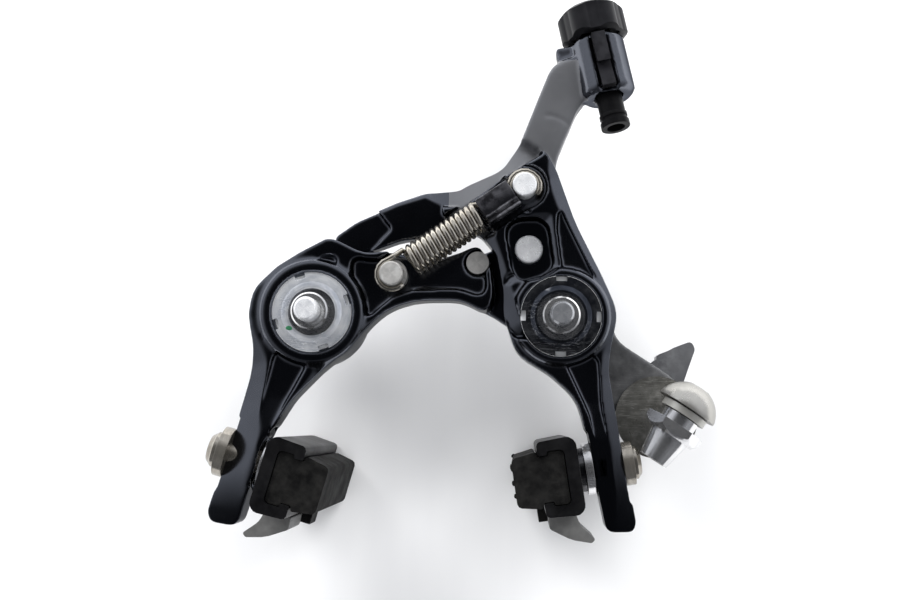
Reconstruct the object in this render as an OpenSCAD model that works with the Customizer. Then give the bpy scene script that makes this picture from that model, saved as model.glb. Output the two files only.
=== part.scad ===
// Direct-mount rim brake caliper: two coupled arms on two pivots, seen from the fork side.
// X runs across the bicycle, Y forwards from the fork seat, Z up. Lengths are in millimetres.

/* [Fork mounting] */
// Distance between the two mounting bolts
pivot_spacing = 62; // [58:0.5:66]
// Thread diameter of a mounting bolt
bolt_d = 6; // [5:0.5:6]
// How far the bolt tips stand out of the fork seat
bolt_reach = 6; // [3:0.5:12]
// Outer diameter of the sleeve that each arm turns on
sleeve_d = 9.2; // [8.4:0.1:10]

/* [Pivots] */
// Radius of the round boss at each pivot
hub_r = 13.2; // [12.4:0.1:14]
// Depth at which the bosses begin, in front of the fork seat
hub_back = 3.6; // [3:0.1:4.4]
// Outer diameter of the notched lock ring
ring_d = 20; // [18:0.2:21]
// Thickness of the lock ring
ring_t = 2.5; // [2:0.1:2.8]
// Running clearance between sleeve and bush
run_gap = 0.05; // [0.02:0.01:0.1]

/* [Arms] */
// Depth at which the backs of the arms begin
arm_back = 5; // [4.4:0.1:5.6]
// Depth at which the adjuster arm and both legs end
arm_front = 15; // [14.6:0.1:15.2]
// Gap between the adjuster arm and the anchor arm that crosses in front of it
cross_gap = 0.5; // [0.4:0.05:0.8]
// Depth at which the anchor arm ends
outer_front = 20; // [19.2:0.1:21]
// Depth of the hollows in the arms
hollow_depth = 4; // [3:0.2:4.4]
// Width of the slot that a shoe bolt slides in
slot_w = 6.4; // [6.2:0.1:7]
// Length of the slot that a shoe bolt slides in
slot_len = 13; // [11:0.5:15]

/* [Spring and pins] */
// Diameter of the spring pins
spring_pin_d = 6; // [5:0.1:6.2]
// Diameter of the stop pin
stop_pin_d = 5.8; // [5:0.1:6.2]
// Outer diameter of the spring coil
coil_d = 8.4; // [7.4:0.1:8.8]
// Wire thickness of the spring
wire_d = 1.4; // [1:0.1:1.5]
// Number of turns in the spring
coil_turns = 14; // [10:1:15]
// Diameter of the link roller
roller_d = 4.8; // [4.4:0.1:5.2]

/* [Shoes] */
// Length of a shoe holder along the rim
shoe_len = 52; // [46:1:56]
// Height of a shoe holder
shoe_h = 18.2; // [16:0.2:19]
// Thickness of a shoe holder
shoe_t = 9.2; // [8:0.2:10]
// How far the rubber stands out of its holder
rubber_out = 6.2; // [3:0.2:7]
// Height of the rubber
rubber_h = 13.2; // [11:0.2:14]
// Lean of the left shoe
shoe_lean_left = 15.4; // [12:0.2:18]
// Lean of the right shoe
shoe_lean_right = 9.5; // [7:0.1:12]

/* [Cable adjuster] */
// Diameter of the adjuster knob
knob_d = 17.2; // [15:0.2:18]
// Height of the adjuster knob
knob_h = 8.6; // [7:0.2:9]
// Bore for a 6 mm housing ferrule
ferrule_d = 6.2; // [5.8:0.1:6.4]
// Length of the ferrule bore
ferrule_len = 8; // [6:0.5:8]
// Outer diameter of the threaded barrel
barrel_d = 6.6; // [6:0.1:7]
// Bore for the inner cable
cable_d = 2.4; // [2:0.1:3]

/* [Cable anchor] */
// Diameter of the thin disc under the anchor
disc_d = 20.6; // [19:0.2:21]
// Throw of the quick-release cam
cam_throw = 4.7; // [3:0.1:5]
// Diameter of the domed bolt head
dome_d = 15.4; // [14:0.2:16]
// Width of the anchor nut across its flats
nut_af = 13; // [11:0.2:13.6]
// Length of the release lever from its shaft to its tip
lever_len = 22; // [18:0.5:24]

/* [Hidden] */

$fn = 64;
eps = 0.01;            // overlap of cutters past a face
fit = 0.02;            // radial gap of a pressed or seated piece
clear = 0.3;           // gap between pieces that move past each other
arc_sag = 0.08;        // how far a side of a rounded corner may lie inside the true arc

half = pivot_spacing / 2;
sleeve_r = sleeve_d / 2;
bush_out_r = sleeve_r + 1.9;
collar_r = sleeve_r + 2.3;
collar_t = 1.2;
bush_flange_t = 0.9;
ring_back = hub_back - 0.3;
ring_hole_r = sleeve_r + 1.3;
right_hub_r = hub_r - 1;
chamber_r = hub_r - 4.4;
floor_back = arm_back + hollow_depth;
cross_back = arm_front + cross_gap;
beam_back = 9;
beam_front = 17;
beam_end_back = 12;
bolt_head_r = 5;
bolt_head_t = 5;
bolt_washer_t = 1;
notch_r = 6.4;

// colours as the photograph shows them
c_arm = [0.13, 0.14, 0.16];
c_black = [0.05, 0.05, 0.06];
c_chrome = [0.80, 0.81, 0.83];
c_nickel = [0.72, 0.70, 0.64];
c_steel = [0.70, 0.68, 0.63];
c_rubber = [0.09, 0.09, 0.09];
c_fin = [0.38, 0.39, 0.40];
c_bush = [0.45, 0.34, 0.18];

// ---------- points and directions ----------
function from_left(x, z, r = 2) = [x - half, z, r];
function from_right(x, z, r = 2) = [x + half, z, r];
function unit(v) = v / norm(v);
function turned(v, a) = [v[0] * cos(a) - v[1] * sin(a), v[0] * sin(a) + v[1] * cos(a)];
function total(v, i = 0) = i < len(v) ? v[i] + total(v, i + 1) : 0;

spring_pin_a = [19.8 - half, 9.8];
spring_pin_b = [half - 9.5, 32.5];
stop_pin_at = [half - 21.05, 13.6];
link_at = [half - 8.2, 17.3];
spring_vec = spring_pin_b - spring_pin_a;
spring_angle = atan2(spring_vec[1], spring_vec[0]);
spring_span = norm(spring_vec);
spring_y = 4.6;
coil_r = (coil_d - wire_d) / 2;
coil_start = 5.6;
sleeve_floor = arm_back + 2.4;
stop_floor = floor_back + 3;
spring_swing = 15;      // how far the spring turns on the left pin as the arms close
coil_room = coil_d / 2 + 0.9;

arm_swing = 8;
link_path = [for (a = [0 : arm_swing / 4 : arm_swing]) link_in_anchor_arm(a)];
function link_in_anchor_arm(a) =
    let (world = [half, 0] + turned(link_at - [half, 0], -a))
    [-half, 0] + turned(world - [-half, 0], -a);

cam_at = [half + 24.6, -24.2];
anchor_tilt = 32.6;
trunnion_at = cam_at + cam_throw * [cos(-58), sin(-58)];
trunnion_back = 2;      // from the top of the anchor nut's hexagon down to the trunnion's axis

adj_at = [half + 9.9, 12, 64.3];
adj_lean = [-10, -12.2, 0];

shoe_y = 10;
shoe_at_left = [-half - 7.9, shoe_y, -39.1];
shoe_at_right = [half + 4.4, shoe_y, -37.9];

// ---------- 2D outlines: corners are [x, z, fillet radius] ----------
function corner_arc(a, b, c) =
    let (
        p = [b[0], b[1]],
        to_a = [a[0], a[1]] - p,
        to_c = [c[0], c[1]] - p,
        u = unit(to_a),
        v = unit(to_c),
        h = acos(max(-1, min(1, u * v))) / 2
    )
    (b[2] <= 0 || h > 88 || h < 2) ? [p] :
    let (
        t = min(b[2] / tan(h), 0.48 * norm(to_a), 0.48 * norm(to_c)),
        r = t * tan(h),
        centre = p + unit(u + v) * r / sin(h),
        first = p + u * t - centre,
        last = p + v * t - centre,
        a0 = atan2(first[1], first[0]),
        turn = ((atan2(last[1], last[0]) - a0 + 540) % 360) - 180,
        n = max(1, ceil(abs(turn) / (2 * acos(max(0.7, 1 - arc_sag / max(r, arc_sag))))))
    )
    [for (i = [0 : n]) centre + r * [cos(a0 + turn * i / n), sin(a0 + turn * i / n)]];

function outline(corners) =
    let (n = len(corners))
    [for (i = [0 : n - 1]) each corner_arc(corners[(i + n - 1) % n], corners[i], corners[(i + 1) % n])];

function area2(p) =
    let (n = len(p))
    total([for (i = [0 : n - 1]) p[i][0] * p[(i + 1) % n][1] - p[(i + 1) % n][0] * p[i][1]]);

function inset(p, d) =
    let (n = len(p), s = sign(area2(p)))
    [for (i = [0 : n - 1])
        let (
            e0 = unit(p[i] - p[(i + n - 1) % n]),
            e1 = unit(p[(i + 1) % n] - p[i]),
            n0 = s * [-e0[1], e0[0]],
            n1 = s * [-e1[1], e1[0]]
        )
        p[i] + (n0 + n1) / max(0.4, 1 + n0 * n1) * d];

// ---------- solids ----------
// a plate between two depths, from a 2D child drawn in X and Z
module slab(y0, y1) {
    translate([0, y1, 0]) rotate([90, 0, 0]) linear_extrude(y1 - y0) children();
}

module rod(at, r, y0, y1) {
    slab(y0, y1) translate([at[0], at[1]]) circle(r);
}

// a plate of an arm: an outline of corners between two depths
module plate(corners, y0, y1) {
    slab(y0, y1) polygon(outline(corners));
}

// a hollow cut from the back, down to a floor
module hollow(corners, floor_y) {
    slab(0, floor_y) polygon(outline(corners));
}

module slot_cut(length, width, x0, x1) {
    for (end = [-1, 1])
        translate([x0, 0, end * (length - width) / 2]) rotate([0, 90, 0]) cylinder(h = x1 - x0, d = width);
    translate([x0, -width / 2, -(length - width) / 2]) cube([x1 - x0, width, length - width]);
}

// ---------- outlines of the arms ----------
anchor_back = [
    from_left(5.5, 18.4, 2.5), from_left(3.2, 18.9, 2), from_left(-3.8, 15.1, 6), from_left(-9.5, 11.4, 8),
    from_left(-15.4, 5.6, 9), from_left(-16.3, -1, 12), from_left(-14.7, -9, 12), from_left(-15.2, -15, 16),
    from_left(-17.6, -23.5, 20), from_left(-24.7, -49.8, 1), from_left(-24, -52.4, 2.4), from_left(-17, -53.4, 2.2),
    from_left(-11.2, -33, 10), from_left(-4.5, -22, 16), from_left(3, -14.1, 20), from_left(9.9, -9, 20),
    from_left(13.4, -4, 16), from_left(18, 0.6, 14), [-6, 3.4, 30], [5.9, 3.7, 10],
    from_right(-18, 0.2, 6), from_right(-16.8, 5.5, 2), from_right(-17.8, 13, 2), from_right(-20.4, 18.6, 3),
    from_right(-25.4, 16.2, 3.4), from_left(29, 13.6, 6), from_left(20, 16, 10), from_left(12.5, 15.1, 8)
];

anchor_core = [
    from_left(3, 12, 4), from_left(-6, -10, 4), from_left(6, -10.5, 6), from_left(12.6, -3.6, 14),
    from_left(18, 1.4, 14), [-6, 4.2, 30], [5.9, 4.5, 10], from_right(-18.6, 1.6, 3), from_right(-18.6, 13, 3),
    from_right(-20.8, 18, 3), from_right(-25.4, 15.6, 3.4), from_left(29, 13.2, 6), from_left(14, 13.4, 8)
];

anchor_cross = [
    [2, 6, 3], from_right(-17, 0.4, 4), from_right(-11, -3.4, 4), from_right(-7.2, -4.6, 1.2),
    from_right(-notch_r, -1, 1), from_right(-notch_r + 0.9, 3.6, 2), from_right(-2.6, notch_r + 0.2, 3),
    from_right(2.6, notch_r + 0.2, 3), from_right(notch_r - 0.9, 3.6, 2), from_right(notch_r + 0.4, -2, 2),
    from_right(9.2, -12, 8), from_right(14.4, -24, 6), from_right(18, -33.2, 8), from_right(30, -34.6, 8),
    from_right(34.2, -26, 8), from_right(32, -17.4, 6), from_right(27.8, -13.4, 8), from_right(13.8, -4.6, 10),
    from_right(13, 3, 8), from_right(8.6, 12.4, 8), from_right(0.6, 20.4, 8), from_right(-9, 22.8, 8),
    from_right(-17.6, 17.6, 6), from_right(-24, 15, 3), [0, 13, 3]
];

adjuster_back = [
    from_right(-29.8, 29.8, 2), from_right(-24, 33.4, 10), from_right(-16.3, 36.8, 8), from_right(-11.6, 41, 6),
    from_right(-4.8, 42.4, 3), from_right(-1.4, 36.4, 6), from_right(3.3, 23.6, 30), from_right(9.6, 11.2, 14),
    from_right(14.1, 1.4, 10), from_right(12.4, -7.6, 9), from_right(11.8, -13, 12), from_right(13.6, -23, 24),
    from_right(18.9, -49.8, 1), from_right(18.4, -52.2, 2.2), from_right(11.8, -52.4, 2), from_right(6.6, -29, 12),
    from_right(4.2, -20.4, 12), from_right(-2.4, -14.6, 10), from_right(-10.9, -9.6, 8), from_right(-14.2, 0, 10),
    from_right(-14.3, 6, 10), from_right(-16.2, 15.4, 3), from_right(-20.4, 20.4, 4), from_right(-25.6, 22.4, 6),
    from_right(-30.2, 25.6, 2)
];

adjuster_beam = [
    from_left(5.6, 16.6, 1.6), from_left(3.6, 19.6, 1.6), from_left(9.6, 23.9, 8), from_left(20, 28.6, 12),
    from_left(27.4, 31.2, 8), from_right(-27, 32, 4), from_right(-18, 34, 4), from_right(-17, 24, 4),
    from_right(-24, 21.8, 8), from_left(28, 19.8, 8), from_left(21.4, 18.9, 8), from_left(12.6, 15.6, 6)
];

// the place where the end of the beam passes over the shoulder of the anchor arm
beam_end = [from_left(0.6, 14.6), from_left(0.6, 24), from_left(12.6, 30), from_left(19, 22), from_left(12.6, 14.7)];

adjuster_neck = [
    from_right(-17, 34.6, 3), from_right(-11, 44, 14), from_right(-4, 62.6, 4), from_right(-2.6, 65, 4),
    from_right(3.6, 67.6, 2.4), from_right(7.4, 58.6, 2), from_right(3.4, 53, 5), from_right(-1.4, 41, 12),
    from_right(-2.4, 33, 4), from_right(-12, 32, 3)
];

pocket = [
    from_right(-14.8, 24.4, 4), from_right(-3.6, 25.4, 4), from_right(-1.6, 12.6, 4.4), from_right(-4.6, 10.4, 4),
    from_right(-10.6, 8.6, 4), from_right(-12.6, 12, 4)
];

// ---------- fork mounting ----------
// a waisted shank runs through the sleeve, and only the end that screws into the fork has the full size
shank_d = bolt_d - 0.6;

module mounting_bolt(x, head_y) {
    difference() {
        union() {
            rod([x, 0], bolt_d / 2, 1 - bolt_reach, 0);
            rod([x, 0], shank_d / 2, -eps, head_y + 1);
            translate([x, -bolt_reach, 0]) rotate([-90, 0, 0]) cylinder(h = 1, d1 = bolt_d - 1.2, d2 = bolt_d);
            rod([x, 0], bolt_head_r, head_y, head_y + bolt_head_t - 0.6);
            translate([x, head_y + bolt_head_t - 0.6, 0]) rotate([-90, 0, 0])
                cylinder(h = 0.6, r1 = bolt_head_r, r2 = bolt_head_r - 0.6);
        }
        translate([x, head_y + bolt_head_t + eps, 0]) rotate([90, 0, 0]) cylinder(h = 3, d = 5 / cos(30), $fn = 6);
    }
}

function sleeve_front(side) = (side < 0 ? outer_front : arm_front) + 0.3;

module bolt_washer(side) {
    y0 = sleeve_front(side);
    slab(y0, y0 + bolt_washer_t) translate([side * half, 0]) difference() {
        circle(bolt_head_r + 0.6);
        circle(bolt_d / 2 + 0.15);
    }
}

module pivot_sleeve(side) {
    collar_back = ring_back + ring_t + 0.1;
    difference() {
        union() {
            rod([side * half, 0], sleeve_r, 0.4, sleeve_front(side));
            translate([side * half, 0, 0]) rotate([-90, 0, 0]) cylinder(h = 0.4, r1 = sleeve_r - 0.4, r2 = sleeve_r);
            rod([side * half, 0], collar_r, collar_back, collar_back + collar_t);
        }
        rod([side * half, 0], bolt_d / 2 + 0.1, -eps, sleeve_front(side) + eps);
    }
}

bush_back = ring_back + ring_t + 0.1 + collar_t + 0.1;

module pivot_bush(side) {
    difference() {
        union() {
            rod([side * half, 0], chamber_r - fit, bush_back, bush_back + bush_flange_t);
            rod([side * half, 0], bush_out_r, bush_back, sleeve_front(side) - 0.4);
        }
        rod([side * half, 0], sleeve_r + run_gap, 0, outer_front + 1);
    }
}

module lock_ring(side, first_notch) {
    slab_y = ring_back;
    difference() {
        rod([side * half, 0], ring_d / 2, slab_y, slab_y + ring_t);
        rod([side * half, 0], ring_hole_r, 0, slab_y + ring_t + eps);
        translate([side * half, slab_y - eps, 0]) rotate([-90, 0, 0])
            cylinder(h = 0.8, r1 = ring_hole_r + 1.7, r2 = ring_hole_r + 0.6);
        for (i = [0 : 3])
            translate([side * half, 0, 0]) rotate([0, -first_notch - 90 * i, 0])
                translate([ring_d / 2 - 1.3, slab_y - eps, -1.3]) cube([3, 1.4, 2.6]);
    }
}

// the stepped chamber that a lock ring, sleeve collar and bush sit in
module hub_chamber(side) {
    rod([side * half, 0], ring_d / 2 + fit, -eps, ring_back + ring_t + fit);
    rod([side * half, 0], chamber_r, -eps, bush_back + bush_flange_t + fit);
    rod([side * half, 0], bush_out_r + fit, 0, outer_front + 2);
}

// ---------- arms ----------
module hub_boss(side, r, front) {
    translate([side * half, hub_back, 0]) rotate([-90, 0, 0]) cylinder(h = 0.8, r1 = r - 0.8, r2 = r);
    rod([side * half, 0], r, hub_back + 0.8, front);
}

// the slot for a shoe bolt, with a flat face on each side of the leg for the washers
module leg_slot(side) {
    inner = -(seat_t + spacer_t);
    outer = inner - side_leg_t(side);
    shoe_frame(side) {
        slot_cut(slot_len, slot_w, outer - 6, inner + 6);
        translate([inner, -8, -9.5]) cube([6, 16, 19]);
        translate([outer - 6, -8, -9.5]) cube([6, 16, 19]);
    }
}

module anchor_arm() {
    color(c_arm) difference() {
        union() {
            plate(anchor_back, arm_back, arm_front);
            plate(anchor_core, arm_back + 3, outer_front - 0.4);
            plate(anchor_cross, cross_back, outer_front);
            hub_boss(-1, hub_r, outer_front - 0.2);
            rod(cam_at, 8, outer_front - 1, outer_front + 0.4);
        }
        hub_chamber(-1);
        // hollow of the arch, between the rim and the boss
        difference() {
            hollow([from_left(9, 14.4, 3), from_left(11, -4, 4), from_left(20, 4.4, 8), [-6, 6.2, 20], [6, 6.4, 8],
                    from_right(-18.4, 4, 3), from_right(-19.2, 14.6, 3), from_right(-25, 14.2, 3), from_left(29, 11.6, 6),
                    from_left(20, 13.8, 5), from_left(14, 13.6, 5)],
                floor_back);
            rod([-half, 0], hub_r, 0, outer_front);
        }
        rod(stop_pin_at, stop_pin_d / 2 + 0.4, 0, stop_floor);
        // hollow of the shoulder, outside the boss
        difference() {
            hollow([from_left(6, 15.4, 2), from_left(-3, 12.6, 5), from_left(-12.8, 5, 6), from_left(-13.8, -2, 8),
                    from_left(-11, -10, 5), from_left(2, -6, 3), from_left(6, 4, 3)], arm_back + 1.2);
            rod([-half, 0], hub_r, 0, outer_front);
        }
        // channel down the inside of the leg
        difference() {
            hollow([from_left(-9, -9, 3), from_left(-11.6, -20, 8), from_left(-17.4, -46, 1.4), from_left(-15.6, -46.4, 1.2),
                    from_left(-9.6, -29.4, 10), from_left(-1.6, -14.4, 4), from_left(0, -10, 2)], arm_back + 1.4);
            rod([-half, 0], hub_r, 0, outer_front);
        }
        leg_slot(-1);
        rod(spring_pin_a, spring_pin_d / 2 - 0.8 + fit, 0, outer_front - 4);
        rod(stop_pin_at, stop_pin_d / 2 - 0.8 + fit, 0, outer_front - 4);
        // room for the spring, which swings down as the arms close
        slab(0, spring_y + coil_d / 2 + 0.3) translate(spring_pin_a) polygon([
            turned([0, coil_room], spring_angle), turned([spring_span, coil_room], spring_angle),
            turned([spring_span, -coil_room], spring_angle - spring_swing), turned([0, -coil_room], spring_angle - spring_swing)
        ]);
        link_slot();
        rod(cam_at, cam_shaft_r + run_gap, cross_back - 2, outer_front + 2);
        rod(cam_at, cam_flange_r + clear, cross_back - 2, cross_back + 2.3);
        // the adjuster arm's beam passes here
        slab(beam_end_back - clear, outer_front + 1) polygon([for (c = beam_end) [c[0], c[1]]]);
    }
}

// the closed outline of a round-ended band along a path
function band(path, r) =
    let (
        n = len(path),
        dirs = [for (i = [0 : n - 1]) unit(path[min(i + 1, n - 1)] - path[max(i - 1, 0)])],
        a0 = atan2(dirs[0][1], dirs[0][0]),
        a1 = atan2(dirs[n - 1][1], dirs[n - 1][0])
    )
    concat(
        [for (i = [0 : n - 1]) path[i] + r * [dirs[i][1], -dirs[i][0]]],
        [for (k = [1 : 11]) path[n - 1] + r * [cos(a1 - 90 + 15 * k), sin(a1 - 90 + 15 * k)]],
        [for (i = [n - 1 : -1 : 0]) path[i] - r * [dirs[i][1], -dirs[i][0]]],
        [for (k = [1 : 11]) path[0] + r * [cos(a0 + 90 + 15 * k), sin(a0 + 90 + 15 * k)]]
    );

module link_slot() {
    slab(cross_back - 1, outer_front + 1) polygon(band(link_path, roller_d / 2 + 0.25));
}

module adjuster_arm() {
    color(c_arm) difference() {
        union() {
            plate(adjuster_back, arm_back, arm_front);
            plate(adjuster_beam, beam_back, arm_front + 0.2);
            plate(adjuster_neck, beam_back + 0.3, beam_front);
            hub_boss(1, right_hub_r, arm_front - 0.2);
            stop_head();
        }
        hub_chamber(1);
        hollow(pocket, arm_front - 3);
        slab(0, beam_end_back) polygon([for (c = beam_end) [c[0], c[1]]]);
        // hollow between the pocket and the right edge, and round the boss
        difference() {
            hollow([from_right(-1, 29, 2), from_right(1.6, 23, 6), from_right(7.4, 11.4, 6), from_right(11.9, 1.6, 8),
                    from_right(10, -9, 6), from_right(-8, -8, 4), from_right(-11.4, 0, 6), from_right(-11.8, 5.6, 4),
                    from_right(0.4, 9.6, 4), from_right(-1.4, 22, 4)], arm_back + 1.6);
            rod([half, 0], right_hub_r, 0, outer_front);
            slab(0, arm_front) polygon(inset(outline(pocket), -1.4));
        }
        // channel down the inside of the leg
        difference() {
            hollow([from_right(0, -9, 2), from_right(7.2, -24, 8), from_right(13.2, -47, 1.2), from_right(14.8, -46.6, 1.2),
                    from_right(10.2, -22, 14), from_right(9.4, -9, 3)], arm_back + 1.4);
            rod([half, 0], right_hub_r, 0, outer_front);
        }
        // seat of the upper spring pin
        rod(spring_pin_b, spring_pin_d / 2 + 2.6, 0, sleeve_floor);
        slab(0, sleeve_floor) translate(spring_pin_b) rotate(spring_angle)
            translate([-spring_span, -coil_d / 2 - 1]) square([spring_span, coil_d + 2]);
        slab(0, spring_y + coil_d / 2 + 0.3) translate(spring_pin_b) rotate(spring_angle)
            translate([-spring_span, -coil_d / 2 - 1.1]) square([spring_span - 13.2, coil_d + 2.2]);
        rod(spring_pin_b, spring_pin_d / 2 - 0.8 + fit, 0, arm_front - 3);
        rod(link_at, link_pin_r + fit, 0, arm_front + 1);
        leg_slot(1);
        adjuster_frame() cylinder(h = 60, d = barrel_d + 0.6, center = true);
        adjuster_frame() translate([0, 0, 5.4]) cylinder(h = 20, r = socket_r + clear);
        adjuster_frame() detent_shape(run_gap);
        adjuster_frame() detent_tongue(run_gap);
    }
}

module stop_head() {
    adjuster_frame() {
        translate([0, 0, -7]) cylinder(h = 14.6, r = 7);
        translate([0, 0, -8.2]) cylinder(h = 1.2 + eps, r1 = 5.8, r2 = 7);
        translate([-10.8, -2, 0.6]) cube([9, 6, 7]);
    }
}

// ---------- spring, pins and link ----------
module stepped_pin(at, d, root_y, tip_y) {
    rod(at, d / 2 - 0.8, floor_back - 1, root_y);
    rod(at, d / 2, tip_y + 0.3, floor_back - fit);
    translate([at[0], tip_y, at[1]]) rotate([-90, 0, 0]) cylinder(h = 0.3, r1 = d / 2 - 0.3, r2 = d / 2);
}

module spring_pin_left() {
    color(c_steel) difference() {
        union() {
            stepped_pin(spring_pin_a, spring_pin_d, outer_front - 5, 1.6);
            rod(spring_pin_a, spring_pin_d / 2 + 0.8, spring_y + wire_d / 2 + 0.2, floor_back - fit);
        }
    }
}

module spring_pin_upper() {
    seat = sleeve_floor;
    color(c_steel) {
        rod(spring_pin_b, spring_pin_d / 2 - 0.8, seat - 1, arm_front - 4);
        rod(spring_pin_b, spring_pin_d / 2, 1.9, seat - fit);
        translate([spring_pin_b[0], 1.6, spring_pin_b[1]]) rotate([-90, 0, 0])
            cylinder(h = 0.3, r1 = spring_pin_d / 2 - 0.3, r2 = spring_pin_d / 2);
    }
}

module stop_pin() {
    color(c_steel) {
        rod(stop_pin_at, stop_pin_d / 2, floor_back + 0.2, stop_floor - fit);
        rod(stop_pin_at, stop_pin_d / 2 - 0.8, stop_floor - 1, outer_front - 4);
    }
}

link_pin_r = 1.6;

module link_pin() {
    head_front = arm_front - 3 - fit;
    color(c_chrome) {
        rod(link_at, 3.6, head_front - 2, head_front);
        translate([link_at[0], head_front - 2.4, link_at[1]]) rotate([-90, 0, 0]) cylinder(h = 0.4, r1 = 3.2, r2 = 3.6);
        rod(link_at, link_pin_r, head_front - 1, outer_front + 1.4);
    }
}

module link_roller() {
    color(c_steel) slab(arm_front + 0.1, outer_front + 0.2) translate(link_at) difference() {
        circle(roller_d / 2);
        circle(link_pin_r + run_gap);
    }
}

module link_clip() {
    color(c_steel) slab(outer_front + 0.4, outer_front + 1) translate(link_at) difference() {
        circle(link_pin_r + 1.5);
        circle(link_pin_r + fit);
        translate([-0.7, 0]) square([1.4, 6]);
    }
}

// wire swept along a path, with a ring of points at each place
module swept_wire(path, d, sides = 8) {
    n = len(path);
    rings = [for (i = [0 : n - 1])
        let (
            t = unit(path[min(i + 1, n - 1)] - path[max(i - 1, 0)]),
            side_ref = abs(t * [0, 1, 0]) > 0.9 ? [1, 0, 0] : [0, 1, 0],
            u = unit(cross(side_ref, t)),
            v = cross(t, u)
        )
        [for (k = [0 : sides - 1]) path[i] + d / 2 * (cos(360 * k / sides) * u + sin(360 * k / sides) * v)]];
    polyhedron(
        points = [for (g = rings) each g],
        faces = concat(
            [[for (k = [0 : sides - 1]) k]],
            [[for (k = [sides - 1 : -1 : 0]) (n - 1) * sides + k]],
            [for (i = [0 : n - 2]) for (k = [0 : sides - 1])
                let (m = (k + 1) % sides)
                each [[i * sides + k, (i + 1) * sides + k, (i + 1) * sides + m],
                      [i * sides + k, (i + 1) * sides + m, i * sides + m]]]
        ),
        convexity = 10
    );
}

// points in the spring's own frame: x from the left pin to the upper pin, z across it
turn_sides = 12;
coil_len = coil_turns * (wire_d + 0.04);
hook_r = spring_pin_d / 2 + wire_d / 2 + 0.12;
function hook_points(cx, dir, from, to) =
    [for (a = [from : (to - from) / 10 : to + 0.1 * sign(to - from)]) [cx + dir * hook_r * cos(a), 0, hook_r * sin(a)]];
coil_points = [for (i = [0 : coil_turns * turn_sides])
    let (a = 360 * i / turn_sides)
    [coil_start + coil_len * i / (coil_turns * turn_sides), coil_r * sin(a), coil_r * cos(a)]];
spring_path = concat(
    hook_points(0, 1, -75, -290),
    coil_points,
    [[coil_start + coil_len + 1.4, 0, coil_r - 0.8], [coil_start + coil_len + 3, 0, 1.6]],
    [[spring_span - hook_r - 1.5, 0, 1.4]],
    hook_points(spring_span, -1, 20, 250)
);

module spring_frame() {
    translate([spring_pin_a[0], spring_y, spring_pin_a[1]]) rotate([0, -spring_angle, 0]) children();
}

module return_spring() {
    color(c_steel) spring_frame() swept_wire(spring_path, wire_d);
}

sleeve_start = coil_start + coil_len + 1.4;
sleeve_len = 9.3;

module spring_sleeve() {
    color(c_black) spring_frame() difference() {
        union() {
            translate([sleeve_start, -2.9, -3.5]) cube([sleeve_len, 5.5, 7]);
            translate([sleeve_start, -3.5, -2.2]) cube([sleeve_len, 0.7, 0.7]);
            translate([sleeve_start, -3.5, -3.5]) cube([sleeve_len, 0.7, 0.6]);
        }
        translate([coil_start + coil_len - 1, -1.1, -1]) cube([14, 2.2, 4.2]);
        translate([sleeve_start - eps, -1.9, -1.9]) cube([2.2, 3.8, 6]);
    }
}

// ---------- cable adjuster ----------
module adjuster_frame() {
    translate(adj_at) rotate([0, adj_lean[1], 0]) rotate([adj_lean[0], 0, 0]) children();
}

knob_back = 8;
knob_hollow_r = 6.3;
socket_r = ferrule_d / 2 + 1.1;

module adjuster_knob() {
    color(c_black) adjuster_frame() difference() {
        translate([0, 0, knob_back]) intersection() {
            linear_extrude(knob_h) union() {
                circle(knob_d / 2 - 0.9);
                for (i = [0 : 5]) rotate(60 * i) translate([knob_d / 2 - 3.4, 0]) circle(3.4);
            }
            union() {
                cylinder(h = 1, r1 = knob_d / 2 - 1.6, r2 = knob_d / 2);
                translate([0, 0, 1]) cylinder(h = knob_h - 2.4, r = knob_d / 2);
                translate([0, 0, knob_h - 1.4]) cylinder(h = 1.4, r1 = knob_d / 2, r2 = knob_d / 2 - 1.8);
            }
        }
        // toothed hollow that the detent strip clicks in
        translate([0, 0, knob_back - eps]) linear_extrude(2.2) union() {
            circle(knob_hollow_r);
            for (i = [0 : 11]) rotate(30 * i) translate([knob_hollow_r, 0]) circle(0.7, $fn = 12);
        }
        translate([0, 0, knob_back - eps]) cylinder(h = knob_h + 1, r = socket_r + run_gap);
    }
}

module adjuster_barrel() {
    top = knob_back + knob_h - 0.5;
    foot = -16.4;
    color(c_black) adjuster_frame() difference() {
        union() {
            translate([0, 0, foot]) cylinder(h = top - foot - 1, d = barrel_d);
            translate([0, 0, foot]) cylinder(h = 1.6, d = barrel_d + 0.8);
            translate([0, 0, foot + 2.6]) cylinder(h = 1, d = barrel_d + 0.5);
            translate([0, 0, top - ferrule_len - 1]) cylinder(h = ferrule_len + 1, r = socket_r);
        }
        translate([0, 0, foot - eps]) cylinder(h = top - foot + 1, d = cable_d);
        translate([0, 0, foot - eps]) cylinder(h = 3, d = 4.6);
        translate([0, 0, top - ferrule_len]) cylinder(h = ferrule_len + 1, d = ferrule_d);
    }
}

// the springy strip let into the stop head, in the adjuster's frame
module detent_shape(gap = 0) {
    translate([-1.7 - gap, -8.4 - gap, -7.6 - gap]) cube([3.4 + 2 * gap, 3 + gap, 14.4 + 2 * gap]);
}

// the springy end of the strip, which reaches into the hollow under the knob
module detent_tongue(gap = 0) {
    translate([-0.6 - gap, -5.9 - gap, 6]) cube([1.2 + 2 * gap, 0.6 + 2 * gap, 2.8 + gap]);
}

module detent_strip() {
    color(c_black) adjuster_frame() {
        difference() {
            detent_shape();
            cylinder(h = 40, r = 5.6, center = true);
            translate([-3, -10, -7.7]) rotate([-14, 0, 0]) cube([6, 2, 8]);
        }
        detent_tongue();
    }
}

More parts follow.
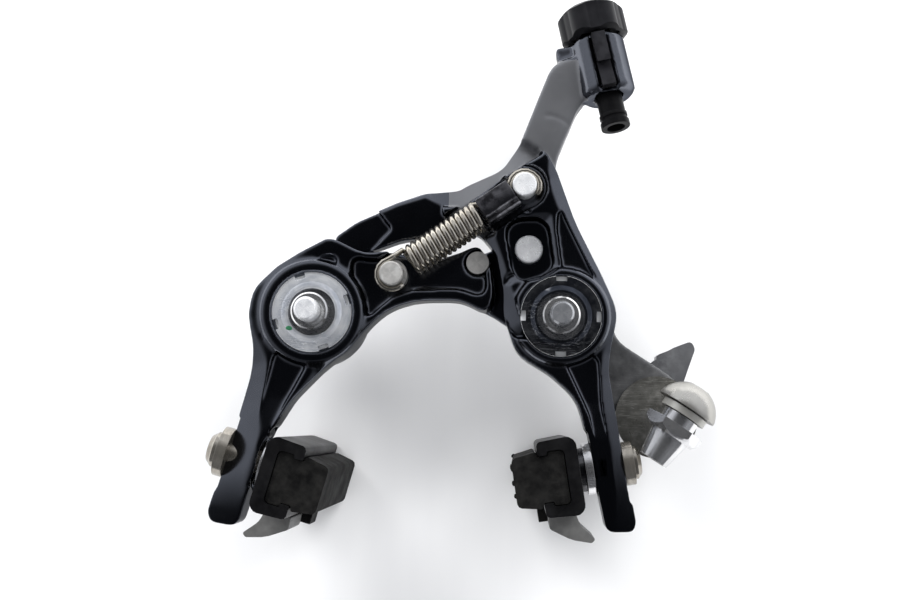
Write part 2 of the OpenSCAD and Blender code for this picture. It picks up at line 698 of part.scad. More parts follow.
// ---------- cable anchor and quick release ----------
cam_shaft_r = 4;
cam_flange_r = 7.2;
disc_t = 0.8;
disc_back = cross_back - 0.1 - disc_t;
lever_back = outer_front + 0.7;
trunnion_r = 1.8;

module cam_shaft() {
    color(c_steel) difference() {
        union() {
            rod(cam_at, cam_shaft_r, cross_back, lever_back + 5);
            rod(cam_at, cam_flange_r, disc_back + disc_t, cross_back + 2.1);
        }
        rod(trunnion_at, trunnion_r + run_gap, 0, cross_back + 1.9);
    }
}

module anchor_disc() {
    color(c_nickel) slab(disc_back, disc_back + disc_t - fit) difference() {
        translate(cam_at) circle(disc_d / 2);
        translate(trunnion_at) circle(trunnion_r + run_gap);
        translate(cam_at) rotate(-62) translate([disc_d / 2 - 1, -0.7]) square([3, 1.4]);
    }
}

// the lever, from its shaft to the thumb pad at its tip
lever_outline = [
    [-6.6, -1, 5], [-5, -6.6, 4], [3, -6.8, 5], [6, -2, 5], [6.4, 6, 6], [8.6, 12.6, 4], [lever_len * 0.47, 17.6, 1.4],
    [lever_len * 0.43, 19.8, 1.4], [4, 17.6, 8], [-2.2, 13, 3], [-5, 8, 6]
];
lever_pad = [
    [5.8, 11.2, 1.2], [8.2, 13.4, 4], [lever_len * 0.47 - 0.1, 17.7, 1.4], [lever_len * 0.43 - 0.1, 19.6, 1.4],
    [4, 17.4, 8], [-0.7, 15.4, 1]
];

function on_cam(corners) = [for (c = corners) [cam_at[0] + c[0], cam_at[1] + c[1], c[2]]];

module release_lever() {
    color(c_black) difference() {
        union() {
            plate(on_cam(lever_outline), lever_back, lever_back + 4);
            plate(on_cam(lever_pad), lever_back + 0.3, lever_back + 5.8);
        }
        rod(cam_at, cam_shaft_r + fit, 0, lever_back + 9);
    }
}

anchor_y = 6.6;
module anchor_frame() {
    translate([trunnion_at[0], anchor_y, trunnion_at[1]]) rotate([0, anchor_tilt, 0])
        translate([0, 0, trunnion_back]) children();
}

module anchor_trunnion() {
    color(c_steel) {
        rod(trunnion_at, trunnion_r, anchor_y + 3.8, cross_back + 1.7);
        rod(trunnion_at, trunnion_r + 1.3, disc_back - 1.1, disc_back - 0.1);
    }
}

module anchor_bolt() {
    r = dome_d / 2;
    color(c_nickel) anchor_frame() difference() {
        union() {
            translate([0, 0, 5.3]) intersection() {
                translate([0, 0, -r * 0.18]) sphere(r = r * 1.02);
                cylinder(h = r, r = r - 0.1);
            }
            translate([0, 0, -9.4]) cylinder(h = 15, d = bolt_d);
        }
        translate([0, 0, 5.3 + r * 0.84 - 2.8]) cylinder(h = 6, d = 5 / cos(30), $fn = 6);
    }
}

module cable_plate() {
    color(c_nickel) anchor_frame() translate([0, 0, 3.3]) difference() {
        cylinder(h = 1.7, r = 5.9);
        translate([0, 0, -1]) cylinder(h = 4, d = bolt_d + 0.2);
        translate([-8, 3.4, 0.5]) cube([16, cable_d / 2, 2]);
    }
}

module anchor_nut() {
    color(c_chrome) anchor_frame() difference() {
        union() {
            intersection() {
                translate([0, 0, -2.6]) cylinder(h = 3.2, d = nut_af / cos(30), $fn = 6);
                translate([0, 0, -2.6]) cylinder(h = 3.2, r1 = nut_af / 2 - 0.4, r2 = nut_af / 2 + 2.4);
            }
            translate([0, 0, -9.6]) cylinder(h = 7.1, r1 = 3.7, r2 = 5.1);
            translate([0, 0, 0.5]) cylinder(h = 2.6, r = 4.6);
        }
        cylinder(h = 30, d = bolt_d + 0.1, center = true);
        translate([0, 0, -trunnion_back]) rotate([-90, 0, 0]) translate([0, 0, 3.7]) cylinder(h = 9, r = trunnion_r + fit);
    }
}

// ---------- shoes: local x points from the holder's back to the rim ----------
module shoe_frame(side) {
    at = side < 0 ? shoe_at_left : shoe_at_right;
    lean = side < 0 ? shoe_lean_left : shoe_lean_right;
    translate(at) mirror([side < 0 ? 0 : 1, 0, 0]) rotate([0, lean, 0]) children();
}

seat_t = 2;
outer_t = 2.6;
shoe_head_r = 4.5;
spacer_t = 2.1;
function side_leg_t(side) = side < 0 ? 8.9 : 7.5;

module shoe_bolt(side) {
    head_x = -(seat_t + spacer_t + side_leg_t(side) + outer_t + fit);
    // the right head is the flatter one, because the cable anchor stands beside it
    rim_t = side < 0 ? 1.2 : 0.8;
    dome_t = side < 0 ? 1.4 : 1;
    head_r = side < 0 ? shoe_head_r : shoe_head_r - 0.4;
    color(c_chrome) shoe_frame(side) difference() {
        union() {
            translate([head_x - 0.5, 0, 0]) rotate([0, 90, 0]) cylinder(h = 5 - head_x, d = bolt_d);
            translate([head_x, 0, 0]) rotate([0, -90, 0]) cylinder(h = rim_t, r = head_r);
            translate([head_x - rim_t + eps, 0, 0]) rotate([0, -90, 0]) cylinder(h = dome_t, r1 = head_r, r2 = head_r - 1.2);
        }
        translate([head_x - rim_t - dome_t - eps, 0, 0]) rotate([0, 90, 0]) cylinder(h = 1.7, d = 4 / cos(30), $fn = 6);
    }
}

module washer_on_shoe(side, x0, t, r) {
    shoe_frame(side) translate([x0, 0, 0]) rotate([0, 90, 0]) difference() {
        cylinder(h = t, r = r);
        translate([0, 0, -1]) cylinder(h = t + 2, d = bolt_d + 0.1);
    }
}

module shoe_profile() {
    b = shoe_t;
    h = shoe_h / 2;
    lip = rubber_h / 2 - 1.2;
    polygon(outline([
        [0, -h + 1.6, 2], [1.4, -h, 2], [b, -h + 0.4, 1], [b, -lip, 0.4], [b - 2.2, -lip, 0.3], [b - 2.2, -h + 2.8, 0.8],
        [3, -h + 2.8, 1], [3, h - 2.8, 1], [b - 2.2, h - 2.8, 0.8], [b - 2.2, lip, 0.3], [b, lip, 0.4],
        [b, h - 0.4, 1], [1.4, h, 2], [0, h - 1.6, 2]
    ]));
}

module rubber_profile() {
    b = shoe_t;
    h = rubber_h / 2;
    lip = rubber_h / 2 - 1.2;
    in_h = shoe_h / 2 - 2.8 - 0.1;
    polygon(outline([
        [3.1, -in_h, 0.8], [b - 2.3, -in_h, 0.6], [b - 2.3, -lip + 0.1, 0.3], [b + 0.1, -lip + 0.1, 0.3],
        [b + 0.4, -h, 0.5], [b + rubber_out, -h + 1, 1.2], [b + rubber_out, h - 1, 1.2], [b + 0.4, h, 0.5],
        [b + 0.1, lip - 0.1, 0.3], [b - 2.3, lip - 0.1, 0.3], [b - 2.3, in_h, 0.6], [3.1, in_h, 0.8]
    ]));
}

// a profile in x and z, drawn along the shoe
module along_shoe(y0, y1) {
    translate([0, y1, 0]) rotate([90, 0, 0]) linear_extrude(y1 - y0) children();
}

shoe_rear = -shoe_len / 2;
// the rubber's own lug, which hangs out of a window in the holder
lug_at = 4;
lug_len = 9;
lug_out = 2.4;

module shoe_holder(side) {
    color(c_black) shoe_frame(side) difference() {
        along_shoe(shoe_rear, -shoe_rear) shoe_profile();
        translate([-1, 0, 0]) rotate([0, 90, 0]) cylinder(h = 5, d = bolt_d + 0.1);
        translate([-1, shoe_rear + 8, 0]) rotate([0, 90, 0]) cylinder(h = 5, d = 3 + 0.1);
        translate([shoe_t - 3.2 - clear, lug_at - clear, -shoe_h / 2 - 1])
            cube([8, lug_len + 2 * clear, 1 + shoe_h / 2 - rubber_h / 2 + 1.2 + clear]);
    }
}

module brake_rubber(side) {
    color(c_rubber) shoe_frame(side) difference() {
        union() {
            along_shoe(shoe_rear + 1, -shoe_rear - 1.6) rubber_profile();
            translate([shoe_t - 3.2, lug_at, -shoe_h / 2 - lug_out])
                cube([5, lug_len, lug_out + shoe_h / 2 - rubber_h / 2 + 2]);
        }
        translate([-1, 0, 0]) rotate([0, 90, 0]) cylinder(h = 7, d = bolt_d + 0.6);
        translate([-1, shoe_rear + 8, 0]) rotate([0, 90, 0]) cylinder(h = 6, d = 3.4);
    }
}

module pad_screw(side) {
    color(c_steel) shoe_frame(side) difference() {
        translate([0.3, shoe_rear + 8, 0]) rotate([0, 90, 0]) cylinder(h = 4.4, d = 3);
        translate([0.2, shoe_rear + 8, 0]) rotate([0, 90, 0]) cylinder(h = 1.6, d = 1.5 / cos(30), $fn = 6);
    }
}

module guide_fin(side) {
    h = shoe_h / 2 + 0.05;
    color(c_fin) shoe_frame(side) along_shoe(-14, 2.6) polygon(outline([
        [2.2, -h, 0.2], [shoe_t - 0.6, -h, 0.2], [shoe_t - 0.4, -h - 3, 1], [4, -h - 6.2, 6], [-0.6, -h - 7.6, 0.5],
        [-1.6, -h - 6.8, 0.4], [1.4, -h - 3.2, 4]
    ]));
}

// ---------- parts ----------
color(c_chrome) mounting_bolt(-half, sleeve_front(-1) + bolt_washer_t);  // mounting_bolt_left
color(c_chrome) mounting_bolt(half, sleeve_front(1) + bolt_washer_t);  // mounting_bolt_right
color(c_steel) bolt_washer(-1);  // bolt_washer_left
color(c_steel) bolt_washer(1);  // bolt_washer_right
color(c_chrome) pivot_sleeve(-1);  // pivot_sleeve_left
color(c_chrome) pivot_sleeve(1);  // pivot_sleeve_right
color(c_bush) pivot_bush(-1);  // pivot_bush_left
color(c_bush) pivot_bush(1);  // pivot_bush_right
color(c_chrome) lock_ring(-1, 20);  // lock_ring_left
color(c_chrome) lock_ring(1, 0);  // lock_ring_right
anchor_arm();
adjuster_arm();
spring_pin_left();
spring_pin_upper();
stop_pin();
link_pin();
link_roller();
link_clip();
return_spring();
spring_sleeve();
adjuster_knob();
adjuster_barrel();
detent_strip();
cam_shaft();
release_lever();
anchor_disc();
anchor_trunnion();
anchor_bolt();
cable_plate();
anchor_nut();
shoe_bolt(-1);  // shoe_bolt_left
shoe_bolt(1);  // shoe_bolt_right
color(c_steel) washer_on_shoe(-1, -(seat_t + spacer_t + side_leg_t(-1) + outer_t), outer_t, 6.3);  // outer_washer_left
color(c_steel) washer_on_shoe(1, -(seat_t + spacer_t + side_leg_t(1) + outer_t), outer_t, 5.4);  // outer_washer_right
color(c_chrome) washer_on_shoe(-1, -(seat_t + spacer_t), seat_t, 6.4);  // seat_washer_left
color(c_chrome) washer_on_shoe(1, -(seat_t + spacer_t), seat_t, 6.4);  // seat_washer_right
color(c_steel) washer_on_shoe(-1, -spacer_t, spacer_t, 5.4);  // spacer_left
color(c_steel) washer_on_shoe(1, -spacer_t, spacer_t, 5.4);  // spacer_right
shoe_holder(-1);  // shoe_holder_left
shoe_holder(1);  // shoe_holder_right
brake_rubber(-1);  // brake_rubber_left
brake_rubber(1);  // brake_rubber_right
pad_screw(-1);  // pad_screw_left
pad_screw(1);  // pad_screw_right
guide_fin(-1);  // guide_fin_left
guide_fin(1);  // guide_fin_right
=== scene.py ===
"""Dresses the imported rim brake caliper: rounded forms, finishes, light and camera.

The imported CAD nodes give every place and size. Each sub-assembly here is a class that
copies or builds its own meshes, rides them on the CAD bodies and gives them a finish.
"""

import logging
import math
import random
from dataclasses import dataclass
from enum import Enum
from typing import Callable, Dict, Iterable, List, Optional, Sequence, Tuple

import bmesh
import bpy
from mathutils import Matrix, Vector
from mathutils.bvhtree import BVHTree

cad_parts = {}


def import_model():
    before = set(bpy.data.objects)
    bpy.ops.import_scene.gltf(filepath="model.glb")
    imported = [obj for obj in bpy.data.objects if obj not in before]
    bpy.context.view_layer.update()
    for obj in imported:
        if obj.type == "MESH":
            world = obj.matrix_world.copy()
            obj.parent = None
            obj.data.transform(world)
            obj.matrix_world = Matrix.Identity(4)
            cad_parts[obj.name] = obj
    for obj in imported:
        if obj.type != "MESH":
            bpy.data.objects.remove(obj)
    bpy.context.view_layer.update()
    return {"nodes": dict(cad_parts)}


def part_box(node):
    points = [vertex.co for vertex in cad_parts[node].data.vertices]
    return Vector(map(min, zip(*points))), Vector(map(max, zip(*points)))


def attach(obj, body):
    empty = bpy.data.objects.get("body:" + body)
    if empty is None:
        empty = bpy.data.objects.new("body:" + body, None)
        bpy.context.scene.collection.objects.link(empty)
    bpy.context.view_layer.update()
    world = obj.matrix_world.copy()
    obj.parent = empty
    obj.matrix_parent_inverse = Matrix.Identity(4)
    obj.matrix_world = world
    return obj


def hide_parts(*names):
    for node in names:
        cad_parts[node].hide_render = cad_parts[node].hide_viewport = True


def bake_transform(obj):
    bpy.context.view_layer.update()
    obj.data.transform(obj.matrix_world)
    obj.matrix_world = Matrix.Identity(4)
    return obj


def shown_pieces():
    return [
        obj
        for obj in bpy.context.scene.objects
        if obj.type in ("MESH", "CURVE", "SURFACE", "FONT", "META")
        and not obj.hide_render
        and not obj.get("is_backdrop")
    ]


Colour = Tuple[float, float, float]
Triple = Tuple[float, float, float]

LOG = logging.getLogger("caliper")
MM = 0.001
ALONG_Y: Triple = (90.0, 0.0, 0.0)
"""Degrees that turn a pattern's Z axis to the row frame's Y axis."""
MERGE = 0.002
"""Millimetres under which corners of a CAD mesh are one."""
SHARP_ANGLE = 32.0
"""Degrees between two faces from which their edge is bevelled and stays sharp."""
HALF_WAY = 0.5
"""How far one smoothing pass moves a corner towards its neighbours' middle."""
SEEN = -0.25
"""A face whose normal's Y lies below this looks at the camera."""
LEAN: Dict[str, float] = {"left": 15.4, "right": -9.5}
"""Degrees that each shoe leans about Y."""
FOOT: Dict[str, Triple] = {"left": (-38.9, 10.0, -39.1), "right": (35.4, 10.0, -37.9)}
"""Where the finishes of each shoe are centred, in millimetres."""


def mm(*values: float) -> Vector:
    """A point given in millimetres, as a vector in metres."""
    return Vector(values) * MM


# ---------------------------------------------------------------- camera and image points


@dataclass(frozen=True)
class CameraRig:
    """The camera at the photograph's viewing angle, fitted to its image points.

    Angles are in degrees, the distance, target, lens and sensor in millimetres, the image's
    width and height in pixels, and what the camera clips in metres.
    """

    azimuth: float = 3.163
    elevation: float = -5.399
    roll: float = 1.272
    distance: float = 322.0
    target: Triple = (3.516, 3.5, 3.485)
    lens: float = 52.08
    sensor: float = 36.0
    width: int = 900
    height: int = 600
    shift_x: float = 0.0
    shift_y: float = 0.0
    nearest: float = 0.01
    farthest: float = 20.0

    def matrix(self) -> Matrix:
        """The camera's place and turn in the row frame.

        Returns:
            A 4x4 matrix whose columns are right, up, back and the place.
        """
        a, e, r = (math.radians(v) for v in (self.azimuth, self.elevation, self.roll))
        back = Vector((math.sin(a) * math.cos(e), -math.cos(a) * math.cos(e), math.sin(e)))
        right = (-back).cross(Vector((0, 0, 1))).normalized()
        up = right.cross(-back)
        turned_right = right * math.cos(r) + up * math.sin(r)
        turned_up = up * math.cos(r) - right * math.sin(r)
        place = mm(*self.target) + back * self.distance * MM
        rows = Matrix((turned_right, turned_up, back)).transposed().to_4x4()
        return Matrix.Translation(place) @ rows

    def place(self) -> bpy.types.Object:
        """Makes the camera and hands it to the scene.

        Returns:
            The camera object.
        """
        data = bpy.data.cameras.new("photo_camera")
        data.lens, data.sensor_width, data.sensor_fit = self.lens, self.sensor, "AUTO"
        data.shift_x, data.shift_y = self.shift_x, self.shift_y
        data.clip_start, data.clip_end = self.nearest, self.farthest
        camera = bpy.data.objects.new("photo_camera", data)
        bpy.context.scene.collection.objects.link(camera)
        camera.matrix_world = self.matrix()
        bpy.context.scene.camera = camera
        return camera

    def ray(self, x: float, y: float) -> Tuple[Vector, Vector]:
        """The ray through an image point.

        Args:
            x: Image point, from the left.
            y: Image point, from the top.

        Returns:
            The ray's start and its direction, in the row frame.
        """
        long_side = max(self.width, self.height)
        aim = Vector(
            (
                x - self.width / 2 + self.shift_x * long_side,
                self.height / 2 - y + self.shift_y * long_side,
                -long_side * self.lens / self.sensor,
            )
        )
        m = self.matrix()
        return m.to_translation(), (m.to_3x3() @ aim).normalized()

    def project(self, point: Vector) -> Tuple[float, float]:
        """Where a point of the row frame shows in the image."""
        long_side = max(self.width, self.height)
        p = self.matrix().inverted() @ point
        scale = long_side * self.lens / self.sensor / -p.z
        return (
            self.width / 2 + p.x * scale - self.shift_x * long_side,
            self.height / 2 - p.y * scale + self.shift_y * long_side,
        )


@dataclass(frozen=True)
class ImagePoint:
    """One place of the photograph and the piece whose shown middle or edge it marks."""

    name: str
    pieces: Tuple[str, ...]
    x: Optional[float] = None
    y: Optional[float] = None
    edge: Optional[str] = None


IMAGE_POINTS = (
    ImagePoint("left_extreme", (), x=210.0, edge="left"),
    ImagePoint("right_extreme", (), x=718.0, edge="right"),
    ImagePoint("top_extreme", (), y=0.5, edge="top"),
    ImagePoint("bottom_extreme", (), y=547.0, edge="bottom"),
    ImagePoint("left_ring", ("ring_left",), 310.0, 311.0),
    ImagePoint("right_ring", ("ring_right",), 560.0, 314.0),
    ImagePoint("upper_spring_pin", ("spring_pin_upper_head",), 524.0, 187.0),
    ImagePoint("left_spring_pin", ("spring_pin_left_head",), 390.0, 270.0),
    ImagePoint("stop_pin", ("stop_pin_head",), 479.0, 262.0),
    ImagePoint("link_pin", ("link_pin_head",), 528.0, 247.0),
    ImagePoint("knob", ("knob",), 588.0, 27.0),
    ImagePoint("dome_right", ("dome",), x=717.5, edge="right"),
    ImagePoint("dome_top", ("dome",), y=378.0, edge="top"),
    ImagePoint("torn_rubber_1", ("torn_rubber_1",), 509.5, 453.0),
    ImagePoint("torn_rubber_2", ("torn_rubber_2",), 510.0, 468.0),
    ImagePoint("torn_rubber_3", ("torn_rubber_3",), 509.5, 484.0),
    ImagePoint("torn_rubber_4", ("torn_rubber_4",), 511.0, 497.0),
    ImagePoint("paint_dab", ("paint_dab",), 289.0, 328.0),
)

RIG = CameraRig()


# ---------------------------------------------------------------- node groups and finishes


class Graph:
    """Short ways to add and link nodes in one tree."""

    def __init__(self, tree: bpy.types.NodeTree) -> None:
        """Keeps the tree that the nodes go into."""
        self.tree = tree

    def add(self, kind: str, **settings: object) -> bpy.types.Node:
        """A new node with its properties set.

        Args:
            kind: The node's type name.
            settings: Properties of the node.

        Returns:
            The node.
        """
        node = self.tree.nodes.new(kind)
        for key, value in settings.items():
            setattr(node, key, value)
        return node

    def join(self, source: bpy.types.NodeSocket, target: bpy.types.NodeSocket) -> None:
        """Links two sockets."""
        self.tree.links.new(source, target)

    def feed(self, socket: bpy.types.NodeSocket, value: object) -> None:
        """Links a socket, or sets its constant, whichever the value is."""
        if isinstance(value, bpy.types.NodeSocket):
            self.join(value, socket)
        else:
            socket.default_value = value

    def maths(self, kind: str, *values: object, clamp: bool = False) -> bpy.types.NodeSocket:
        """A Math node's result.

        Args:
            kind: The operation.
            values: Numbers or sockets.
            clamp: Whether the result is kept to 0..1.

        Returns:
            The result's socket.
        """
        node = self.add("ShaderNodeMath", operation=kind, use_clamp=clamp)
        for socket, value in zip(node.inputs, values):
            self.feed(socket, value)
        return node.outputs[0]

    def spread(self, value: object, low: float, high: float, to_low: float = 0.0,
               to_high: float = 1.0) -> bpy.types.NodeSocket:
        """A value mapped from one range to another, kept to the second.

        Args:
            value: Number or socket.
            low: Where the first range starts.
            high: Where the first range ends.
            to_low: Where the second range starts.
            to_high: Where the second range ends.

        Returns:
            The mapped value's socket.
        """
        node = self.add("ShaderNodeMapRange", clamp=True)
        for name, item in (("Value", value), ("From Min", low), ("From Max", high),
                           ("To Min", to_low), ("To Max", to_high)):
            self.feed(node.inputs[name], item)
        return node.outputs["Result"]

    def noise(self, vector: bpy.types.NodeSocket, scale: object, detail: float = 3.0,
              roughness: float = 0.55) -> bpy.types.NodeSocket:
        """Noise at a scale, as a value around one half."""
        node = self.add("ShaderNodeTexNoise")
        self.join(vector, node.inputs["Vector"])
        self.feed(node.inputs["Scale"], scale)
        self.feed(node.inputs["Detail"], detail)
        self.feed(node.inputs["Roughness"], roughness)
        return node.outputs["Fac"]

    def mix(self, factor: object, first: object, second: object) -> bpy.types.NodeSocket:
        """Two colours mixed by a factor."""
        node = self.add("ShaderNodeMix", data_type="RGBA")
        colour_inputs = [s for s in node.inputs if s.type == "RGBA"]
        self.feed(node.inputs["Factor"], factor)
        for socket, value in zip(colour_inputs, (first, second)):
            self.feed(socket, (*value, 1.0) if isinstance(value, tuple) else value)
        return next(s for s in node.outputs if s.type == "RGBA")


@dataclass(frozen=True)
class EffectGroup:
    """One shared effect, built once as a shader node group."""

    name: str
    values: Tuple[Tuple[str, float], ...]
    outputs: Tuple[str, ...]
    build: Callable[[Graph, bpy.types.Node, bpy.types.Node], None]

    def tree(self) -> bpy.types.NodeTree:
        """The group's tree, made on first use.

        Returns:
            The node tree.
        """
        made = bpy.data.node_groups.get(self.name)
        if made:
            return made
        tree = bpy.data.node_groups.new(self.name, "ShaderNodeTree")
        tree.interface.new_socket("Vector", in_out="INPUT", socket_type="NodeSocketVector")
        for name, value in self.values:
            socket = tree.interface.new_socket(name, in_out="INPUT", socket_type="NodeSocketFloat")
            socket.default_value = value
        for name in self.outputs:
            tree.interface.new_socket(name, in_out="OUTPUT", socket_type="NodeSocketFloat")
        graph = Graph(tree)
        self.build(graph, graph.add("NodeGroupInput"), graph.add("NodeGroupOutput"))
        return tree

    def use(self, graph: Graph, vector: bpy.types.NodeSocket, **values: float) -> bpy.types.Node:
        """Places the group in a material.

        Args:
            graph: The material's graph.
            vector: What the pattern reads.
            values: Values of the group's inputs.

        Returns:
            The group node.
        """
        node = graph.add("ShaderNodeGroup", node_tree=self.tree())
        graph.join(vector, node.inputs["Vector"])
        for name, value in values.items():
            node.inputs[name.replace("_", " ").capitalize()].default_value = value
        return node


BARE_EDGE = (0.515, 0.60)
"""Pointiness at which an edge starts to wear, and at which it is bare."""
SCRATCH_LAYS = ((0.5, 14.0), (2.1, 18.0))
"""Turn in radians and stretch of each direction in which scratches run."""
SCRATCH_WIDTH = 0.012
"""How far the noise may lie from its middle inside a scratch."""
LEAST_ROUGHNESS = 0.02
SCRATCH_ROUGHNESS = 0.2
DUST_ROUGHNESS = 0.3


def _grain(graph: Graph, given: bpy.types.Node, out: bpy.types.Node) -> None:
    """Broad and fine noise, as a cloud and as a height."""
    cloud = graph.noise(given.outputs["Vector"], given.outputs["Cloud scale"], 4.0)
    fine = graph.noise(given.outputs["Vector"], given.outputs["Grain scale"], 2.0, 0.6)
    graph.join(graph.spread(cloud, 0.3, 0.7), out.inputs["Cloud"])
    graph.join(fine, out.inputs["Height"])


def _edge_wear(graph: Graph, given: bpy.types.Node, out: bpy.types.Node) -> None:
    """A mask over the outer edges, broken up by noise."""
    point = graph.add("ShaderNodeNewGeometry").outputs["Pointiness"]
    edge = graph.spread(point, *BARE_EDGE)
    patchy = graph.spread(graph.noise(given.outputs["Vector"], given.outputs["Scale"], 5.0), 0.4, 0.65)
    broken = graph.maths("MULTIPLY", edge, patchy)
    graph.join(graph.maths("MULTIPLY", broken, given.outputs["Amount"], clamp=True), out.inputs["Mask"])


def _scratches(graph: Graph, given: bpy.types.Node, out: bpy.types.Node) -> None:
    """Thin crossing lines at two slants."""
    total = None
    for turn, stretch in SCRATCH_LAYS:
        lay = graph.add("ShaderNodeMapping")
        graph.join(given.outputs["Vector"], lay.inputs["Vector"])
        lay.inputs["Rotation"].default_value = (turn, 0.7 * turn, turn)
        lay.inputs["Scale"].default_value = (1.0, stretch, stretch)
        field_value = graph.noise(lay.outputs["Vector"], given.outputs["Scale"], 2.0)
        away = graph.maths("ABSOLUTE", graph.maths("SUBTRACT", field_value, 0.5))
        line = graph.spread(away, 0.0, SCRATCH_WIDTH, 1.0, 0.0)
        total = line if total is None else graph.maths("MAXIMUM", total, line)
    some = graph.spread(graph.noise(given.outputs["Vector"], graph.maths(
        "MULTIPLY", given.outputs["Scale"], 0.7), 2.0), 0.5, 0.62)
    thin = graph.maths("MULTIPLY", total, some)
    graph.join(graph.maths("MULTIPLY", thin, given.outputs["Amount"], clamp=True), out.inputs["Mask"])


def _turned(graph: Graph, given: bpy.types.Node, out: bpy.types.Node) -> None:
    """Rings round the pattern's Z axis, as a lathe leaves them, with a slow swirl."""
    parts = graph.add("ShaderNodeSeparateXYZ")
    graph.join(given.outputs["Vector"], parts.inputs["Vector"])
    x, y, z = parts.outputs
    radius = graph.maths("SQRT", graph.maths("ADD", graph.maths("MULTIPLY", x, x),
                                             graph.maths("MULTIPLY", y, y)))
    angle = graph.maths("ARCTAN2", y, x)
    place = graph.add("ShaderNodeCombineXYZ")
    graph.join(graph.maths("MULTIPLY", radius, given.outputs["Rings"]), place.inputs["X"])
    graph.join(graph.maths("MULTIPLY", z, given.outputs["Rings"]), place.inputs["Y"])
    graph.join(graph.maths("SINE", angle), place.inputs["Z"])
    graph.join(graph.noise(place.outputs["Vector"], 1.0, 3.0, 0.7), out.inputs["Height"])
    slow = graph.add("ShaderNodeCombineXYZ")
    graph.join(graph.maths("MULTIPLY", radius, given.outputs["Swirl"]), slow.inputs["X"])
    graph.join(graph.maths("SINE", angle), slow.inputs["Y"])
    graph.join(graph.maths("COSINE", angle), slow.inputs["Z"])
    graph.join(graph.spread(graph.noise(slow.outputs["Vector"], 1.6, 4.0, 0.6), 0.36, 0.64),
               out.inputs["Cloud"])


def _brushed(graph: Graph, given: bpy.types.Node, out: bpy.types.Node) -> None:
    """Fine lines along the pattern's X axis."""
    lay = graph.add("ShaderNodeMapping")
    graph.join(given.outputs["Vector"], lay.inputs["Vector"])
    lay.inputs["Scale"].default_value = (0.03, 1.0, 1.0)
    graph.join(graph.noise(lay.outputs["Vector"], given.outputs["Scale"], 3.0, 0.7), out.inputs["Height"])


def _dust(graph: Graph, given: bpy.types.Node, out: bpy.types.Node) -> None:
    """Specks and smudges of pale dust."""
    specks = graph.spread(graph.noise(given.outputs["Vector"], given.outputs["Scale"], 6.0, 0.75), 0.5, 0.72)
    smudge = graph.spread(graph.noise(given.outputs["Vector"], graph.maths(
        "MULTIPLY", given.outputs["Scale"], 0.18), 3.0), 0.4, 0.7)
    both = graph.maths("MULTIPLY", graph.maths("ADD", specks, smudge), given.outputs["Amount"], clamp=True)
    graph.join(both, out.inputs["Mask"])


GRAIN = EffectGroup("grain", (("Cloud scale", 80.0), ("Grain scale", 2500.0)), ("Cloud", "Height"), _grain)
EDGE_WEAR = EffectGroup("edge_wear", (("Scale", 400.0), ("Amount", 0.5)), ("Mask",), _edge_wear)
SCRATCHES = EffectGroup("scratches", (("Scale", 60.0), ("Amount", 0.5)), ("Mask",), _scratches)
TURNED = EffectGroup("turned_marks", (("Rings", 4000.0), ("Swirl", 300.0)), ("Height", "Cloud"), _turned)
BRUSHED = EffectGroup("brushed_lines", (("Scale", 3000.0),), ("Height",), _brushed)
DUST = EffectGroup("dust", (("Scale", 900.0), ("Amount", 0.3)), ("Mask",), _dust)


class Lay(Enum):
    """How the fine marks of a finish run."""

    GRAIN = "grain"
    TURNED = "turned"
    BRUSHED = "brushed"


